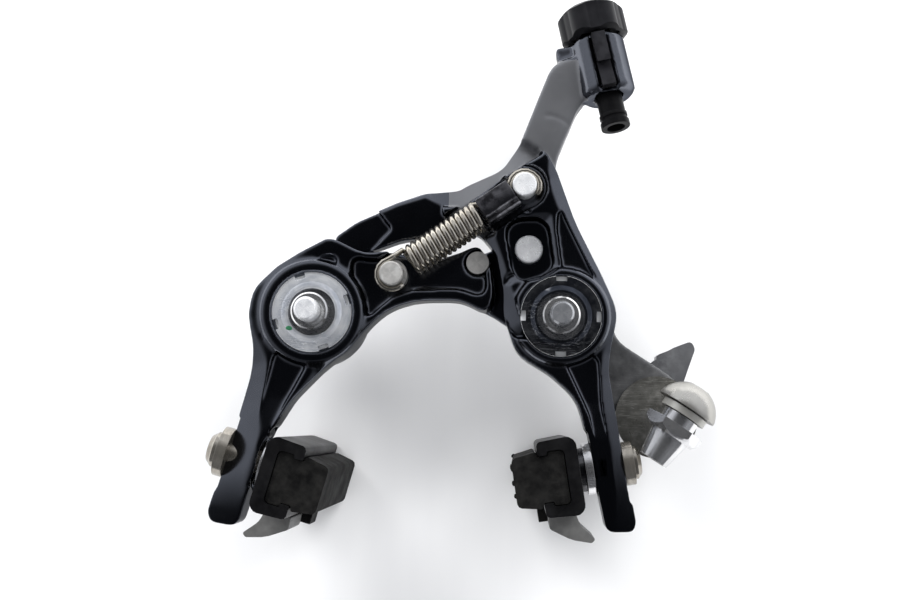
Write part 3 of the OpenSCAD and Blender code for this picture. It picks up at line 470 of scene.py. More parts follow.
@dataclass(frozen=True)
class Finish:
    """One surface finish: colours, gloss, marks and wear.

    The colour varies between two, and turns to a third where edges or scratches are worn.
    """

    colour: Colour
    second: Colour
    worn: Colour
    metallic: float
    roughness: float
    rough_spread: float
    lay: Lay = Lay.GRAIN
    bump: float = 0.0
    bump_height: float = 0.02
    cloud_scale: float = 80.0
    grain_scale: float = 2500.0
    wear: float = 0.0
    scratches: float = 0.0
    dust: float = 0.0
    dust_colour: Colour = (0.45, 0.44, 0.42)
    specular: float = 0.5
    edge_tint: float = 1.0
    ior: float = 1.5
    slot: str = ""

    def material(self, name: str, centre: Triple = (0, 0, 0), turn: Triple = (0, 0, 0)) -> bpy.types.Material:
        """The finish as a material.

        Args:
            name: The material's name.
            centre: Where the pattern is centred, in millimetres.
            turn: How the pattern is turned, in degrees, so that its Z runs along the piece.

        Returns:
            The material.
        """
        made = bpy.data.materials.get(name)
        if made:
            return made
        made = bpy.data.materials.new(name)
        made.use_nodes = True
        made.node_tree.nodes.clear()
        graph = Graph(made.node_tree)
        place = graph.add("ShaderNodeMapping", vector_type="TEXTURE")
        graph.join(graph.add("ShaderNodeTexCoord").outputs["Object"], place.inputs["Vector"])
        place.inputs["Location"].default_value = mm(*centre)
        place.inputs["Rotation"].default_value = tuple(math.radians(v) for v in turn)
        vector = place.outputs["Vector"]
        grain = GRAIN.use(graph, vector, cloud_scale=self.cloud_scale, grain_scale=self.grain_scale)
        cloud, height = grain.outputs["Cloud"], grain.outputs["Height"]
        if self.lay is Lay.TURNED:
            marks = TURNED.use(graph, vector)
            cloud, height = marks.outputs["Cloud"], marks.outputs["Height"]
        elif self.lay is Lay.BRUSHED:
            height = BRUSHED.use(graph, vector).outputs["Height"]
        colour = graph.mix(cloud, self.colour, self.second)
        rough = graph.spread(cloud, 0.0, 1.0, max(LEAST_ROUGHNESS, self.roughness - self.rough_spread),
                             self.roughness + self.rough_spread)
        if self.wear:
            worn = EDGE_WEAR.use(graph, vector, amount=self.wear).outputs["Mask"]
            colour = graph.mix(worn, colour, self.worn)
        if self.scratches:
            lines = SCRATCHES.use(graph, vector, amount=self.scratches).outputs["Mask"]
            colour = graph.mix(lines, colour, self.worn)
            rougher = graph.maths("MULTIPLY", lines, SCRATCH_ROUGHNESS)
            rough = graph.maths("ADD", rough, rougher, clamp=True)
        if self.dust:
            dusty = DUST.use(graph, vector, amount=self.dust).outputs["Mask"]
            colour = graph.mix(dusty, colour, self.dust_colour)
            rougher = graph.maths("MULTIPLY", dusty, DUST_ROUGHNESS)
            rough = graph.maths("ADD", rough, rougher, clamp=True)
        shader = graph.add("ShaderNodeBsdfPrincipled")
        graph.join(colour, shader.inputs["Base Color"])
        graph.join(rough, shader.inputs["Roughness"])
        shader.inputs["Metallic"].default_value = self.metallic
        shader.inputs["Specular IOR Level"].default_value = self.specular
        shader.inputs["IOR"].default_value = self.ior
        shader.inputs["Specular Tint"].default_value = (self.edge_tint, self.edge_tint, self.edge_tint, 1.0)
        if self.bump:
            bump = graph.add("ShaderNodeBump")
            bump.inputs["Strength"].default_value = self.bump
            bump.inputs["Distance"].default_value = self.bump_height * MM
            graph.join(height, bump.inputs["Height"])
            graph.join(bump.outputs["Normal"], shader.inputs["Normal"])
        graph.join(shader.outputs["BSDF"], graph.add("ShaderNodeOutputMaterial").inputs["Surface"])
        return made


FORGED_BLACK = Finish(
    colour=(0.125, 0.132, 0.15), second=(0.155, 0.163, 0.185), worn=(0.26, 0.27, 0.3),
    metallic=1.0, roughness=0.2, rough_spread=0.04, bump=0.06, bump_height=0.02,
    cloud_scale=60.0, grain_scale=1800.0, wear=0.12, scratches=0.06, edge_tint=0.3, slot="black_anodised")
# A paler, less metallic copy of FORGED_BLACK, given to the adjuster arm's neck where it faces the camera: a
# painted sheen.
FORGED_PAINTED_SHEEN = Finish(
    colour=(0.15, 0.153, 0.163), second=(0.2, 0.204, 0.216), worn=(0.34, 0.35, 0.37),
    metallic=0.6, roughness=0.4, rough_spread=0.06, bump=0.12, bump_height=0.02,
    cloud_scale=50.0, grain_scale=2200.0, wear=0.2, scratches=0.1, dust=0.02, slot="black_anodised")
FORGED_MOTTLED = Finish(
    colour=(0.075, 0.077, 0.08), second=(0.15, 0.152, 0.157), worn=(0.3, 0.3, 0.31),
    metallic=0.55, roughness=0.38, rough_spread=0.08, bump=0.25, bump_height=0.03,
    cloud_scale=260.0, grain_scale=2200.0, wear=0.3, scratches=0.2, dust=0.08, slot="black_anodised")
CHROME = Finish(
    colour=(0.9, 0.92, 0.95), second=(0.55, 0.58, 0.64), worn=(0.97, 0.97, 0.97),
    metallic=0.66, roughness=0.16, rough_spread=0.08, lay=Lay.TURNED, bump=0.08, bump_height=0.012,
    wear=0.6, scratches=0.6, slot="polished_steel")
# A darker copy of CHROME for the right lock ring: its dark colour is a painted dark reflection, and its pale
# edges and scratches are partly wear and partly painted highlights.
CHROME_PAINTED_DARK = Finish(
    colour=(0.1, 0.11, 0.135), second=(0.05, 0.056, 0.07), worn=(0.85, 0.86, 0.88),
    metallic=0.95, roughness=0.14, rough_spread=0.07, lay=Lay.TURNED, bump=0.06, bump_height=0.01,
    wear=0.9, scratches=0.8, slot="polished_steel")
BOLT_END = Finish(
    colour=(0.86, 0.87, 0.89), second=(0.6, 0.61, 0.64), worn=(0.95, 0.95, 0.95),
    metallic=0.42, roughness=0.32, rough_spread=0.1, lay=Lay.TURNED, bump=0.3, bump_height=0.015,
    wear=0.5, scratches=0.9, slot="polished_steel")
# A darker copy of BOLT_END for the right bolt's end: painted dark reflection; its pale scratches are real
# wear.
BOLT_END_PAINTED_DARK = Finish(
    colour=(0.36, 0.37, 0.39), second=(0.24, 0.25, 0.27), worn=(0.92, 0.92, 0.92),
    metallic=0.7, roughness=0.3, rough_spread=0.1, lay=Lay.TURNED, bump=0.3, bump_height=0.015,
    wear=0.6, scratches=0.9, slot="polished_steel")
# Bright, barely metallic steel: bare cut metal on the lock rings' notch floors, and a painted highlight on
# their rims.
CUT_STEEL_AND_GLINT = Finish(
    colour=(0.86, 0.87, 0.88), second=(0.7, 0.71, 0.73), worn=(0.95, 0.95, 0.95),
    metallic=0.2, roughness=0.3, rough_spread=0.08, bump=0.2, bump_height=0.015,
    wear=0.3, scratches=0.3, slot="polished_steel")
BRIGHT_STEEL = Finish(
    colour=(0.8, 0.8, 0.8), second=(0.64, 0.64, 0.65), worn=(0.94, 0.94, 0.94),
    metallic=0.92, roughness=0.16, rough_spread=0.06, lay=Lay.TURNED, bump=0.08, bump_height=0.01,
    wear=0.4, scratches=0.4, slot="polished_steel")
WARM_STEEL = Finish(
    colour=(0.42, 0.39, 0.34), second=(0.26, 0.24, 0.21), worn=(0.7, 0.68, 0.62),
    metallic=0.85, roughness=0.24, rough_spread=0.08, lay=Lay.TURNED, bump=0.1, bump_height=0.01,
    wear=0.4, scratches=0.4, slot="polished_steel")
SATIN_NICKEL = Finish(
    colour=(0.5, 0.495, 0.46), second=(0.42, 0.415, 0.385), worn=(0.7, 0.69, 0.66),
    metallic=0.6, roughness=0.34, rough_spread=0.05, bump=0.08, bump_height=0.01,
    wear=0.3, scratches=0.15, slot="satin_nickel")
# A darker copy of SATIN_NICKEL for the release cam's disc: painted shade.
NICKEL_PAINTED_SHADE = Finish(
    colour=(0.153, 0.151, 0.137), second=(0.108, 0.106, 0.097), worn=(0.6, 0.59, 0.56),
    metallic=0.6, roughness=0.34, rough_spread=0.08, lay=Lay.TURNED, bump=0.25, bump_height=0.012,
    wear=0.3, scratches=0.3, slot="satin_nickel")
SPRING_WIRE = Finish(
    colour=(0.62, 0.58, 0.5), second=(0.45, 0.41, 0.35), worn=(0.88, 0.85, 0.79),
    metallic=0.95, roughness=0.2, rough_spread=0.08, bump=0.06, bump_height=0.01,
    wear=0.3, slot="stainless")
# A darker copy of BRIGHT_PIN's steel for pins of the same kind: painted shade on the left arm's spring and
# stop pins; the link roller and clip share it.
PIN_STEEL = Finish(
    colour=(0.48, 0.47, 0.455), second=(0.36, 0.355, 0.345), worn=(0.8, 0.8, 0.78),
    metallic=0.45, roughness=0.36, rough_spread=0.08, lay=Lay.TURNED, bump=0.25, bump_height=0.012,
    wear=0.5, scratches=0.5, slot="stainless")
BRIGHT_PIN = Finish(
    colour=(0.85, 0.86, 0.88), second=(0.66, 0.67, 0.69), worn=(0.93, 0.93, 0.93),
    metallic=0.4, roughness=0.32, rough_spread=0.08, lay=Lay.TURNED, bump=0.25, bump_height=0.012,
    wear=0.5, scratches=0.6, slot="stainless")
BLACK_PLASTIC = Finish(
    colour=(0.003, 0.003, 0.0034), second=(0.0055, 0.0055, 0.006), worn=(0.04, 0.04, 0.042),
    metallic=0.0, roughness=0.34, rough_spread=0.06, bump=0.12, bump_height=0.02,
    wear=0.2, dust=0.02, dust_colour=(0.08, 0.078, 0.075), specular=0.25, ior=1.22, slot="black_plastic")
KNOB_PLASTIC = Finish(
    colour=(0.005, 0.005, 0.006), second=(0.009, 0.009, 0.011), worn=(0.05, 0.05, 0.056),
    metallic=0.0, roughness=0.42, rough_spread=0.08, bump=0.25, bump_height=0.03,
    grain_scale=5000.0, wear=0.3, dust=0.02, dust_colour=(0.1, 0.1, 0.1), specular=0.4, ior=1.3,
    slot="dark_knob")
# Its pale edge colour is partly rubbed plastic and partly a painted highlight on the sleeve's edges.
SLEEVE_BLACK = Finish(
    colour=(0.004, 0.004, 0.005), second=(0.007, 0.007, 0.009), worn=(0.16, 0.16, 0.18),
    metallic=0.0, roughness=0.25, rough_spread=0.06, bump=0.1, bump_height=0.02,
    wear=0.7, dust=0.01, slot="dark_knob")
RUBBER = Finish(
    colour=(0.0035, 0.0035, 0.0037), second=(0.0065, 0.0065, 0.0066), worn=(0.035, 0.034, 0.032),
    metallic=0.0, roughness=0.55, rough_spread=0.12, bump=0.6, bump_height=0.08,
    cloud_scale=140.0, grain_scale=2200.0, wear=0.6, dust=0.14, dust_colour=(0.035, 0.034, 0.032),
    specular=0.2, ior=1.15, slot="rubber")
GREY_NYLON = Finish(
    colour=(0.085, 0.085, 0.084), second=(0.125, 0.125, 0.122), worn=(0.28, 0.28, 0.27),
    metallic=0.0, roughness=0.5, rough_spread=0.08, bump=0.2, bump_height=0.03,
    wear=0.4, dust=0.1, dust_colour=(0.2, 0.195, 0.19), slot="grey_fin")
DOME_STEEL = Finish(
    colour=(0.5, 0.49, 0.46), second=(0.42, 0.41, 0.385), worn=(0.75, 0.75, 0.72),
    metallic=0.8, roughness=0.3, rough_spread=0.06, bump=0.1, bump_height=0.01,
    wear=0.3, scratches=0.5, dust=0.02, edge_tint=0.6, slot="satin_nickel")
DULL_STEEL = Finish(
    colour=(0.12, 0.12, 0.125), second=(0.07, 0.07, 0.075), worn=(0.5, 0.5, 0.5),
    metallic=1.0, roughness=0.26, rough_spread=0.06, lay=Lay.TURNED, bump=0.08, bump_height=0.01,
    wear=0.4, scratches=0.4, edge_tint=0.5, slot="polished_steel")
GREEN_PAINT = Finish(
    colour=(0.04, 0.24, 0.1), second=(0.02, 0.13, 0.06), worn=(0.3, 0.5, 0.35),
    metallic=0.0, roughness=0.4, rough_spread=0.1, bump=0.3, bump_height=0.02,
    cloud_scale=900.0, wear=0.3, slot="polished_steel")
BRONZE = Finish(
    colour=(0.42, 0.3, 0.14), second=(0.3, 0.2, 0.1), worn=(0.6, 0.45, 0.25),
    metallic=1.0, roughness=0.35, rough_spread=0.08, lay=Lay.TURNED, bump=0.1, bump_height=0.01,
    slot="bronze_bush")
DARK_LEVER = Finish(
    colour=(0.12, 0.122, 0.13), second=(0.16, 0.163, 0.172), worn=(0.3, 0.31, 0.32),
    metallic=0.45, roughness=0.36, rough_spread=0.06, bump=0.1, bump_height=0.02,
    wear=0.5, scratches=0.25, dust=0.04, slot="dark_lever")


# ---------------------------------------------------------------- mesh helpers


class Workshop:
    """Copies, builds and finishes meshes in the row frame."""

    def __init__(self, nodes: Dict[str, bpy.types.Object]) -> None:
        """Keeps the CAD nodes by name."""
        self.nodes = nodes

    def copy(self, node: str, flat_angle: float = 0.4) -> bmesh.types.BMesh:
        """A merged copy of a CAD node with its flat faces joined.

        Args:
            node: The CAD node's name.
            flat_angle: Degrees under which neighbouring triangles are one face.

        Returns:
            The copy.
        """
        bm = bmesh.new()
        bm.from_mesh(self.nodes[node].data)
        bmesh.ops.remove_doubles(bm, verts=bm.verts, dist=MERGE * MM)
        bmesh.ops.dissolve_degenerate(bm, dist=MERGE * MM, edges=bm.edges)
        if flat_angle:
            bmesh.ops.dissolve_limit(bm, angle_limit=math.radians(flat_angle), verts=bm.verts, edges=bm.edges)
        return bm

    @staticmethod
    def round_edges(bm: bmesh.types.BMesh, width: float, segments: int = 2) -> None:
        """Bevels the sharp edges.

        Args:
            bm: The mesh.
            width: The bevel's width in millimetres.
            segments: Steps across the bevel.
        """
        limit = math.radians(SHARP_ANGLE)
        edges = [e for e in bm.edges if len(e.link_faces) == 2 and e.calc_face_angle(0.0) > limit]
        bmesh.ops.bevel(bm, geom=edges, offset=width * MM, offset_type="OFFSET", segments=segments,
                        profile=0.5, affect="EDGES", clamp_overlap=True, material=-1)

    @staticmethod
    def piece(name: str, bm: bmesh.types.BMesh, smooth_angle: float = SHARP_ANGLE,
              weighted: bool = True) -> bpy.types.Object:
        """An object of a mesh, smooth up to an angle.

        Args:
            name: The piece's name.
            bm: The mesh, which is freed.
            smooth_angle: Degrees above which an edge stays sharp.
            weighted: Whether large faces keep their own shading.

        Returns:
            The object, at the origin.
        """
        mesh = bpy.data.meshes.new(name)
        bm.to_mesh(mesh)
        bm.free()
        mesh.shade_smooth()
        mesh.set_sharp_from_angle(angle=math.radians(smooth_angle))
        made = bpy.data.objects.new(name, mesh)
        bpy.context.scene.collection.objects.link(made)
        if weighted:
            modifier = made.modifiers.new("even_shading", "WEIGHTED_NORMAL")
            modifier.keep_sharp = True
        return made

    @staticmethod
    def settle(piece: bpy.types.Object) -> None:
        """Turns a piece's modifiers into its mesh."""
        graph = bpy.context.evaluated_depsgraph_get()
        mesh = bpy.data.meshes.new_from_object(piece.evaluated_get(graph))
        piece.modifiers.clear()
        old = piece.data
        piece.data = mesh
        bpy.data.meshes.remove(old)

    def soften(self, name: str, bm: bmesh.types.BMesh, voxel: float, passes: int) -> bpy.types.Object:
        """A piece with every edge rounded as a forging or moulding rounds it.

        Args:
            name: The piece's name.
            bm: The mesh, which is freed.
            voxel: Size of the new mesh's faces in millimetres.
            passes: How often it is smoothed.

        Returns:
            The object.
        """
        made = self.piece(name, bm, 180.0, weighted=False)
        remesh = made.modifiers.new("even_faces", "REMESH")
        remesh.mode, remesh.voxel_size, remesh.adaptivity = "VOXEL", voxel * MM, 0.0
        remesh.use_smooth_shade = True
        smooth = made.modifiers.new("soft_edges", "SMOOTH")
        smooth.factor, smooth.iterations = HALF_WAY, passes
        self.settle(made)
        made.data.shade_smooth()
        return made

    def dress(self, piece: bpy.types.Object, body: str, finish: Finish, *stands_for: str,
              centre: Triple = (0, 0, 0), turn: Triple = (0, 0, 0)) -> bpy.types.Object:
        """Gives a piece its finish and its place on a body.

        Args:
            piece: The new piece.
            body: The CAD body that it rides on.
            finish: Its finish.
            stands_for: The CAD nodes that it replaces.
            centre: Centre of the finish's pattern in millimetres.
            turn: Turn of the pattern in degrees.

        Returns:
            The piece.
        """
        piece.data.materials.clear()
        piece.data.materials.append(finish.material(f"{piece.name}_finish", centre, turn))
        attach(piece, body)
        if stands_for:
            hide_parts(*stands_for)
        LOG.info("%s rides on %s, %d faces", piece.name, body, len(piece.data.polygons))
        return piece

    def rounded(self, node: str, name: str, body: str, finish: Finish, width: float,
                segments: int = 2, **place: Triple) -> bpy.types.Object:
        """A copy of a CAD node with bevelled edges, standing for it.

        Args:
            node: The CAD node.
            name: The new piece's name.
            body: Its body.
            finish: Its finish.
            width: The bevel's width in millimetres.
            segments: Steps across the bevel.
            place: Centre and turn of the finish's pattern.

        Returns:
            The piece.
        """
        bm = self.copy(node)
        self.round_edges(bm, width, segments)
        return self.dress(self.piece(name, bm), body, finish, node, **place)

    def coat(self, node: str, finish: Finish, **place: Triple) -> None:
        """Gives a CAD node that stays a material of its own."""
        mesh = self.nodes[node].data
        material = finish.material(f"{node}_finish", **place)
        if mesh.materials:
            for i in range(len(mesh.materials)):
                mesh.materials[i] = material
        else:
            mesh.materials.append(material)


# ---------------------------------------------------------------- sub-assemblies


@dataclass
class Pivots:
    """Bolts, sleeves, bushes and lock rings of the two pivots, in millimetres."""

    shop: Workshop
    half_spacing: float = 31.0
    ring_inner: float = 5.6
    notch_inner: float = 8.4
    notch_depth: float = 0.7
    rim_inner: float = 9.6
    rim_bevel: float = 0.2
    bolt_bevel: float = 0.45
    cut_facing: float = -0.7
    rim_facing: Tuple[float, float] = (-0.95, -0.2)
    face_layer: float = 1.5
    least_wall: float = 0.2
    dish_left: float = 0.24
    dish_right: float = 0.08

    def ring(self, side: str, x: float, dish: float, finish: Finish) -> None:
        """One lock ring with a slightly dished face, its notch floors cut bright and a painted highlight on
        its rim.

        Args:
            side: Its side.
            x: Its pivot's place.
            dish: How steeply its face falls outward.
            finish: Its finish.
        """
        node = f"lock_ring_{side}"
        low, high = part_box(node)
        bm = self.shop.copy(node)
        for vertex in bm.verts:
            radius = math.hypot(vertex.co.x / MM - x, vertex.co.z / MM)
            if vertex.co.y < low.y + self.face_layer * MM and radius > self.ring_inner:
                fallen = vertex.co.y + dish * (radius - self.ring_inner) * MM
                vertex.co.y = min(fallen, high.y - self.least_wall * MM)
        self.shop.round_edges(bm, self.rim_bevel, 2)
        made = self.shop.dress(self.shop.piece(f"ring_{side}", bm), f"{side}_arm", finish, node,
                               centre=(x, 0.0, 0.0), turn=ALONG_Y)
        made.data.materials.append(CUT_STEEL_AND_GLINT.material(f"ring_{side}_cut", (x, 0.0, 0.0), ALONG_Y))
        for face in made.data.polygons:
            radius = math.hypot(face.center.x / MM - x, face.center.z / MM)
            face_y = low.y + dish * max(0.0, radius - self.ring_inner) * MM
            deep = face.center.y > face_y + self.notch_depth * MM
            cut = face.normal.y < self.cut_facing and deep and radius > self.notch_inner
            # Rim faces that lean toward the camera take the bright steel as a painted highlight.
            rim = self.rim_facing[0] < face.normal.y < self.rim_facing[1] and radius > self.rim_inner
            if cut or rim:
                face.material_index = 1

    def build(self) -> None:
        """Makes and dresses both pivots."""
        # The right pivot's ring and bolt end take darker copies of the left pivot's steel: painted dark
        # reflection.
        for side, x, dish, finish in (
            ("left", -self.half_spacing, self.dish_left, CHROME),
            ("right", self.half_spacing, self.dish_right, CHROME_PAINTED_DARK),
        ):
            spot = {"centre": (x, 0.0, 0.0), "turn": ALONG_Y}
            end = BOLT_END if side == "left" else BOLT_END_PAINTED_DARK
            self.shop.rounded(f"mounting_bolt_{side}", f"bolt_{side}", "fork_mount", end,
                              self.bolt_bevel, 3, **spot)
            self.ring(side, x, dish, finish)
            for part, metal in (("bolt_washer", BRIGHT_STEEL), ("pivot_sleeve", BRIGHT_STEEL),
                                ("pivot_bush", BRONZE)):
                self.shop.coat(f"{part}_{side}", metal, **spot)


@dataclass(frozen=True)
class Slope:
    """A slope that a forging die left beside an arm's face, falling away from its crest line.

    A crest point is its x, its z and how steeply the slope falls there. The crest runs so that
    the slope lies on its left, seen from the camera's side. Lengths are in millimetres.
    """

    name: str
    crest: Tuple[Triple, ...]
    face_y: float
    reach: float
    deepest: float
    overrun: float = 0.02

    def depth(self, x: float, z: float) -> float:
        """How deep the slope lies at a place.

        Args:
            x: Place across, in millimetres.
            z: Place up, in millimetres.

        Returns:
            Depth below the face in millimetres, or 0 off the slope.
        """
        best, found = self.reach, 0.0
        for (x0, z0, s0), (x1, z1, s1) in zip(self.crest, self.crest[1:]):
            dx, dz = x1 - x0, z1 - z0
            length = math.hypot(dx, dz)
            along = ((x - x0) * dx + (z - z0) * dz) / (length * length)
            side = (z - z0) * dx - (x - x0) * dz
            if -self.overrun <= along <= 1.0 + self.overrun:
                near = along
                gap = abs(side) / length
            else:
                near = min(max(along, 0.0), 1.0)
                gap = math.hypot(x - x0 - near * dx, z - z0 - near * dz)
            if gap < best:
                best = gap
                found = gap * (s0 + (s1 - s0) * near) if side > 0 else 0.0
        return min(found, self.deepest)


LEFT_SLOPES = (
    Slope("leg_and_shoulder", (
        (-48.4, -55.0, 0.1), (-47.2, -50.0, 0.12), (-45.4, -40.7, 0.36), (-43.5, -31.9, 0.56),
        (-41.9, -23.0, 0.62), (-41.5, -17.6, 0.62), (-42.0, -12.3, 0.62), (-43.8, -8.4, 0.6),
        (-45.9, -4.0, 0.5), (-46.6, 0.0, 0.4), (-45.8, 5.2, 0.3), (-43.4, 8.7, 0.3),
        (-40.3, 11.0, 0.3), (-34.6, 14.6, 0.3), (-28.2, 18.3, 0.3), (-25.2, 18.4, 0.3)), 5.0, 9.0, 5.2),
    Slope("leg_inside", (
        (-30.4, -14.6, 0.7), (-35.3, -22.2, 0.8), (-41.2, -33.2, 0.8), (-46.4, -49.5, 0.8)), 5.0, 1.6, 1.6),
)
RIGHT_SLOPES = (
    Slope("beam_edge", (
        (-27.2, 17.6, 1.0), (-25.7, 19.8, 1.0), (-20.9, 23.2, 1.0), (-10.8, 27.9, 1.0), (-3.6, 30.2, 0.9),
        (-0.5, 28.4, 0.5), (1.6, 27.2, 0.42), (5.6, 27.4, 0.42), (9.6, 30.2, 0.42), (16.2, 35.2, 0.42),
        (19.0, 37.0, 0.42)), 9.0, 8.0, 3.6),
    Slope("pin_seat", (
        (23.5, 26.6, 0.7), (26.2, 28.7, 0.7), (27.7, 31.6, 0.7), (27.6, 34.6, 0.7), (25.6, 37.3, 0.7),
        (22.6, 38.7, 0.7), (19.6, 38.4, 0.6)), 5.0, 1.6, 1.2),
    Slope("right_edge", (
        (27.0, 44.0, 0.62), (27.3, 39.5, 0.62), (27.2, 34.5, 0.62), (29.5, 28.2, 0.62), (32.8, 21.1, 0.6),
        (37.2, 13.1, 0.6), (41.9, 7.4, 0.7), (43.9, 2.5, 0.5), (43.8, -2.8, 0.5), (41.3, -8.6, 0.5),
        (40.2, -15.1, 0.42), (41.0, -21.2, 0.4), (43.4, -31.6, 0.34), (44.8, -42.8, 0.2),
        (44.6, -52.6, 0.12)), 5.0, 8.0, 4.6),
    Slope("pocket_frame", (
        (21.6, -1.6, 0.5), (19.9, 3.5, 0.6), (18.5, 8.0, 0.6), (16.6, 14.0, 0.6),
        (14.6, 19.6, 0.5)), 5.0, 4.0, 2.4),
    Slope("pocket_mouth", (
        (19.4, 8.2, 0.6), (26.8, 9.5, 0.7), (30.4, 12.2, 0.7), (28.4, 26.2, 0.6),
        (21.0, 26.0, 0.5)), 5.0, 2.4, 1.6),
)


@dataclass(frozen=True)
class Seat:
    """A washer's path along its slot, kept free of the arm's soft edges, in millimetres and degrees.

    The arm lies on the washer's +X side where arm_side is 1, and on the other where it is -1.
    """

    washer: str
    lean: float
    arm_side: int
    travel: float = 3.2
    gap: float = 0.08

    def clear(self, shop: Workshop, arm: bpy.types.Object) -> None:
        """Presses back what the arm's soft edges leave in the washer's path.

        Args:
            shop: The workshop, for the washer's mesh.
            arm: The arm, in the row frame.
        """
        lean = math.radians(self.lean)
        along = Vector((math.cos(lean), 0.0, -math.sin(lean)))
        slide = Vector((math.sin(lean), 0.0, math.cos(lean)))
        bm = shop.copy(self.washer)
        places = [(v.co.dot(along), v.co.y, v.co.dot(slide)) for v in bm.verts]
        bm.free()
        low = [min(p[i] for p in places) for i in range(3)]
        high = [max(p[i] for p in places) for i in range(3)]
        radius, gap = (high[1] - low[1]) / 2, self.gap * MM
        y_mid, z_mid = (low[1] + high[1]) / 2, (low[2] + high[2]) / 2
        goal = high[0] + gap if self.arm_side > 0 else low[0] - gap
        for vertex in arm.data.vertices:
            at = vertex.co.dot(along)
            past = max(0.0, abs(vertex.co.dot(slide) - z_mid) - self.travel * MM)
            if low[0] - gap < at < high[0] + gap and math.hypot(vertex.co.y - y_mid, past) < radius + gap:
                vertex.co += along * (goal - at)
        arm.data.update()


SEATS: Dict[str, Tuple[Seat, ...]] = {
    f"{side}_arm": (Seat(f"outer_washer_{side}", LEAN[side], inward),
                    Seat(f"seat_washer_{side}", LEAN[side], -inward))
    for side, inward in (("left", 1), ("right", -1))
}


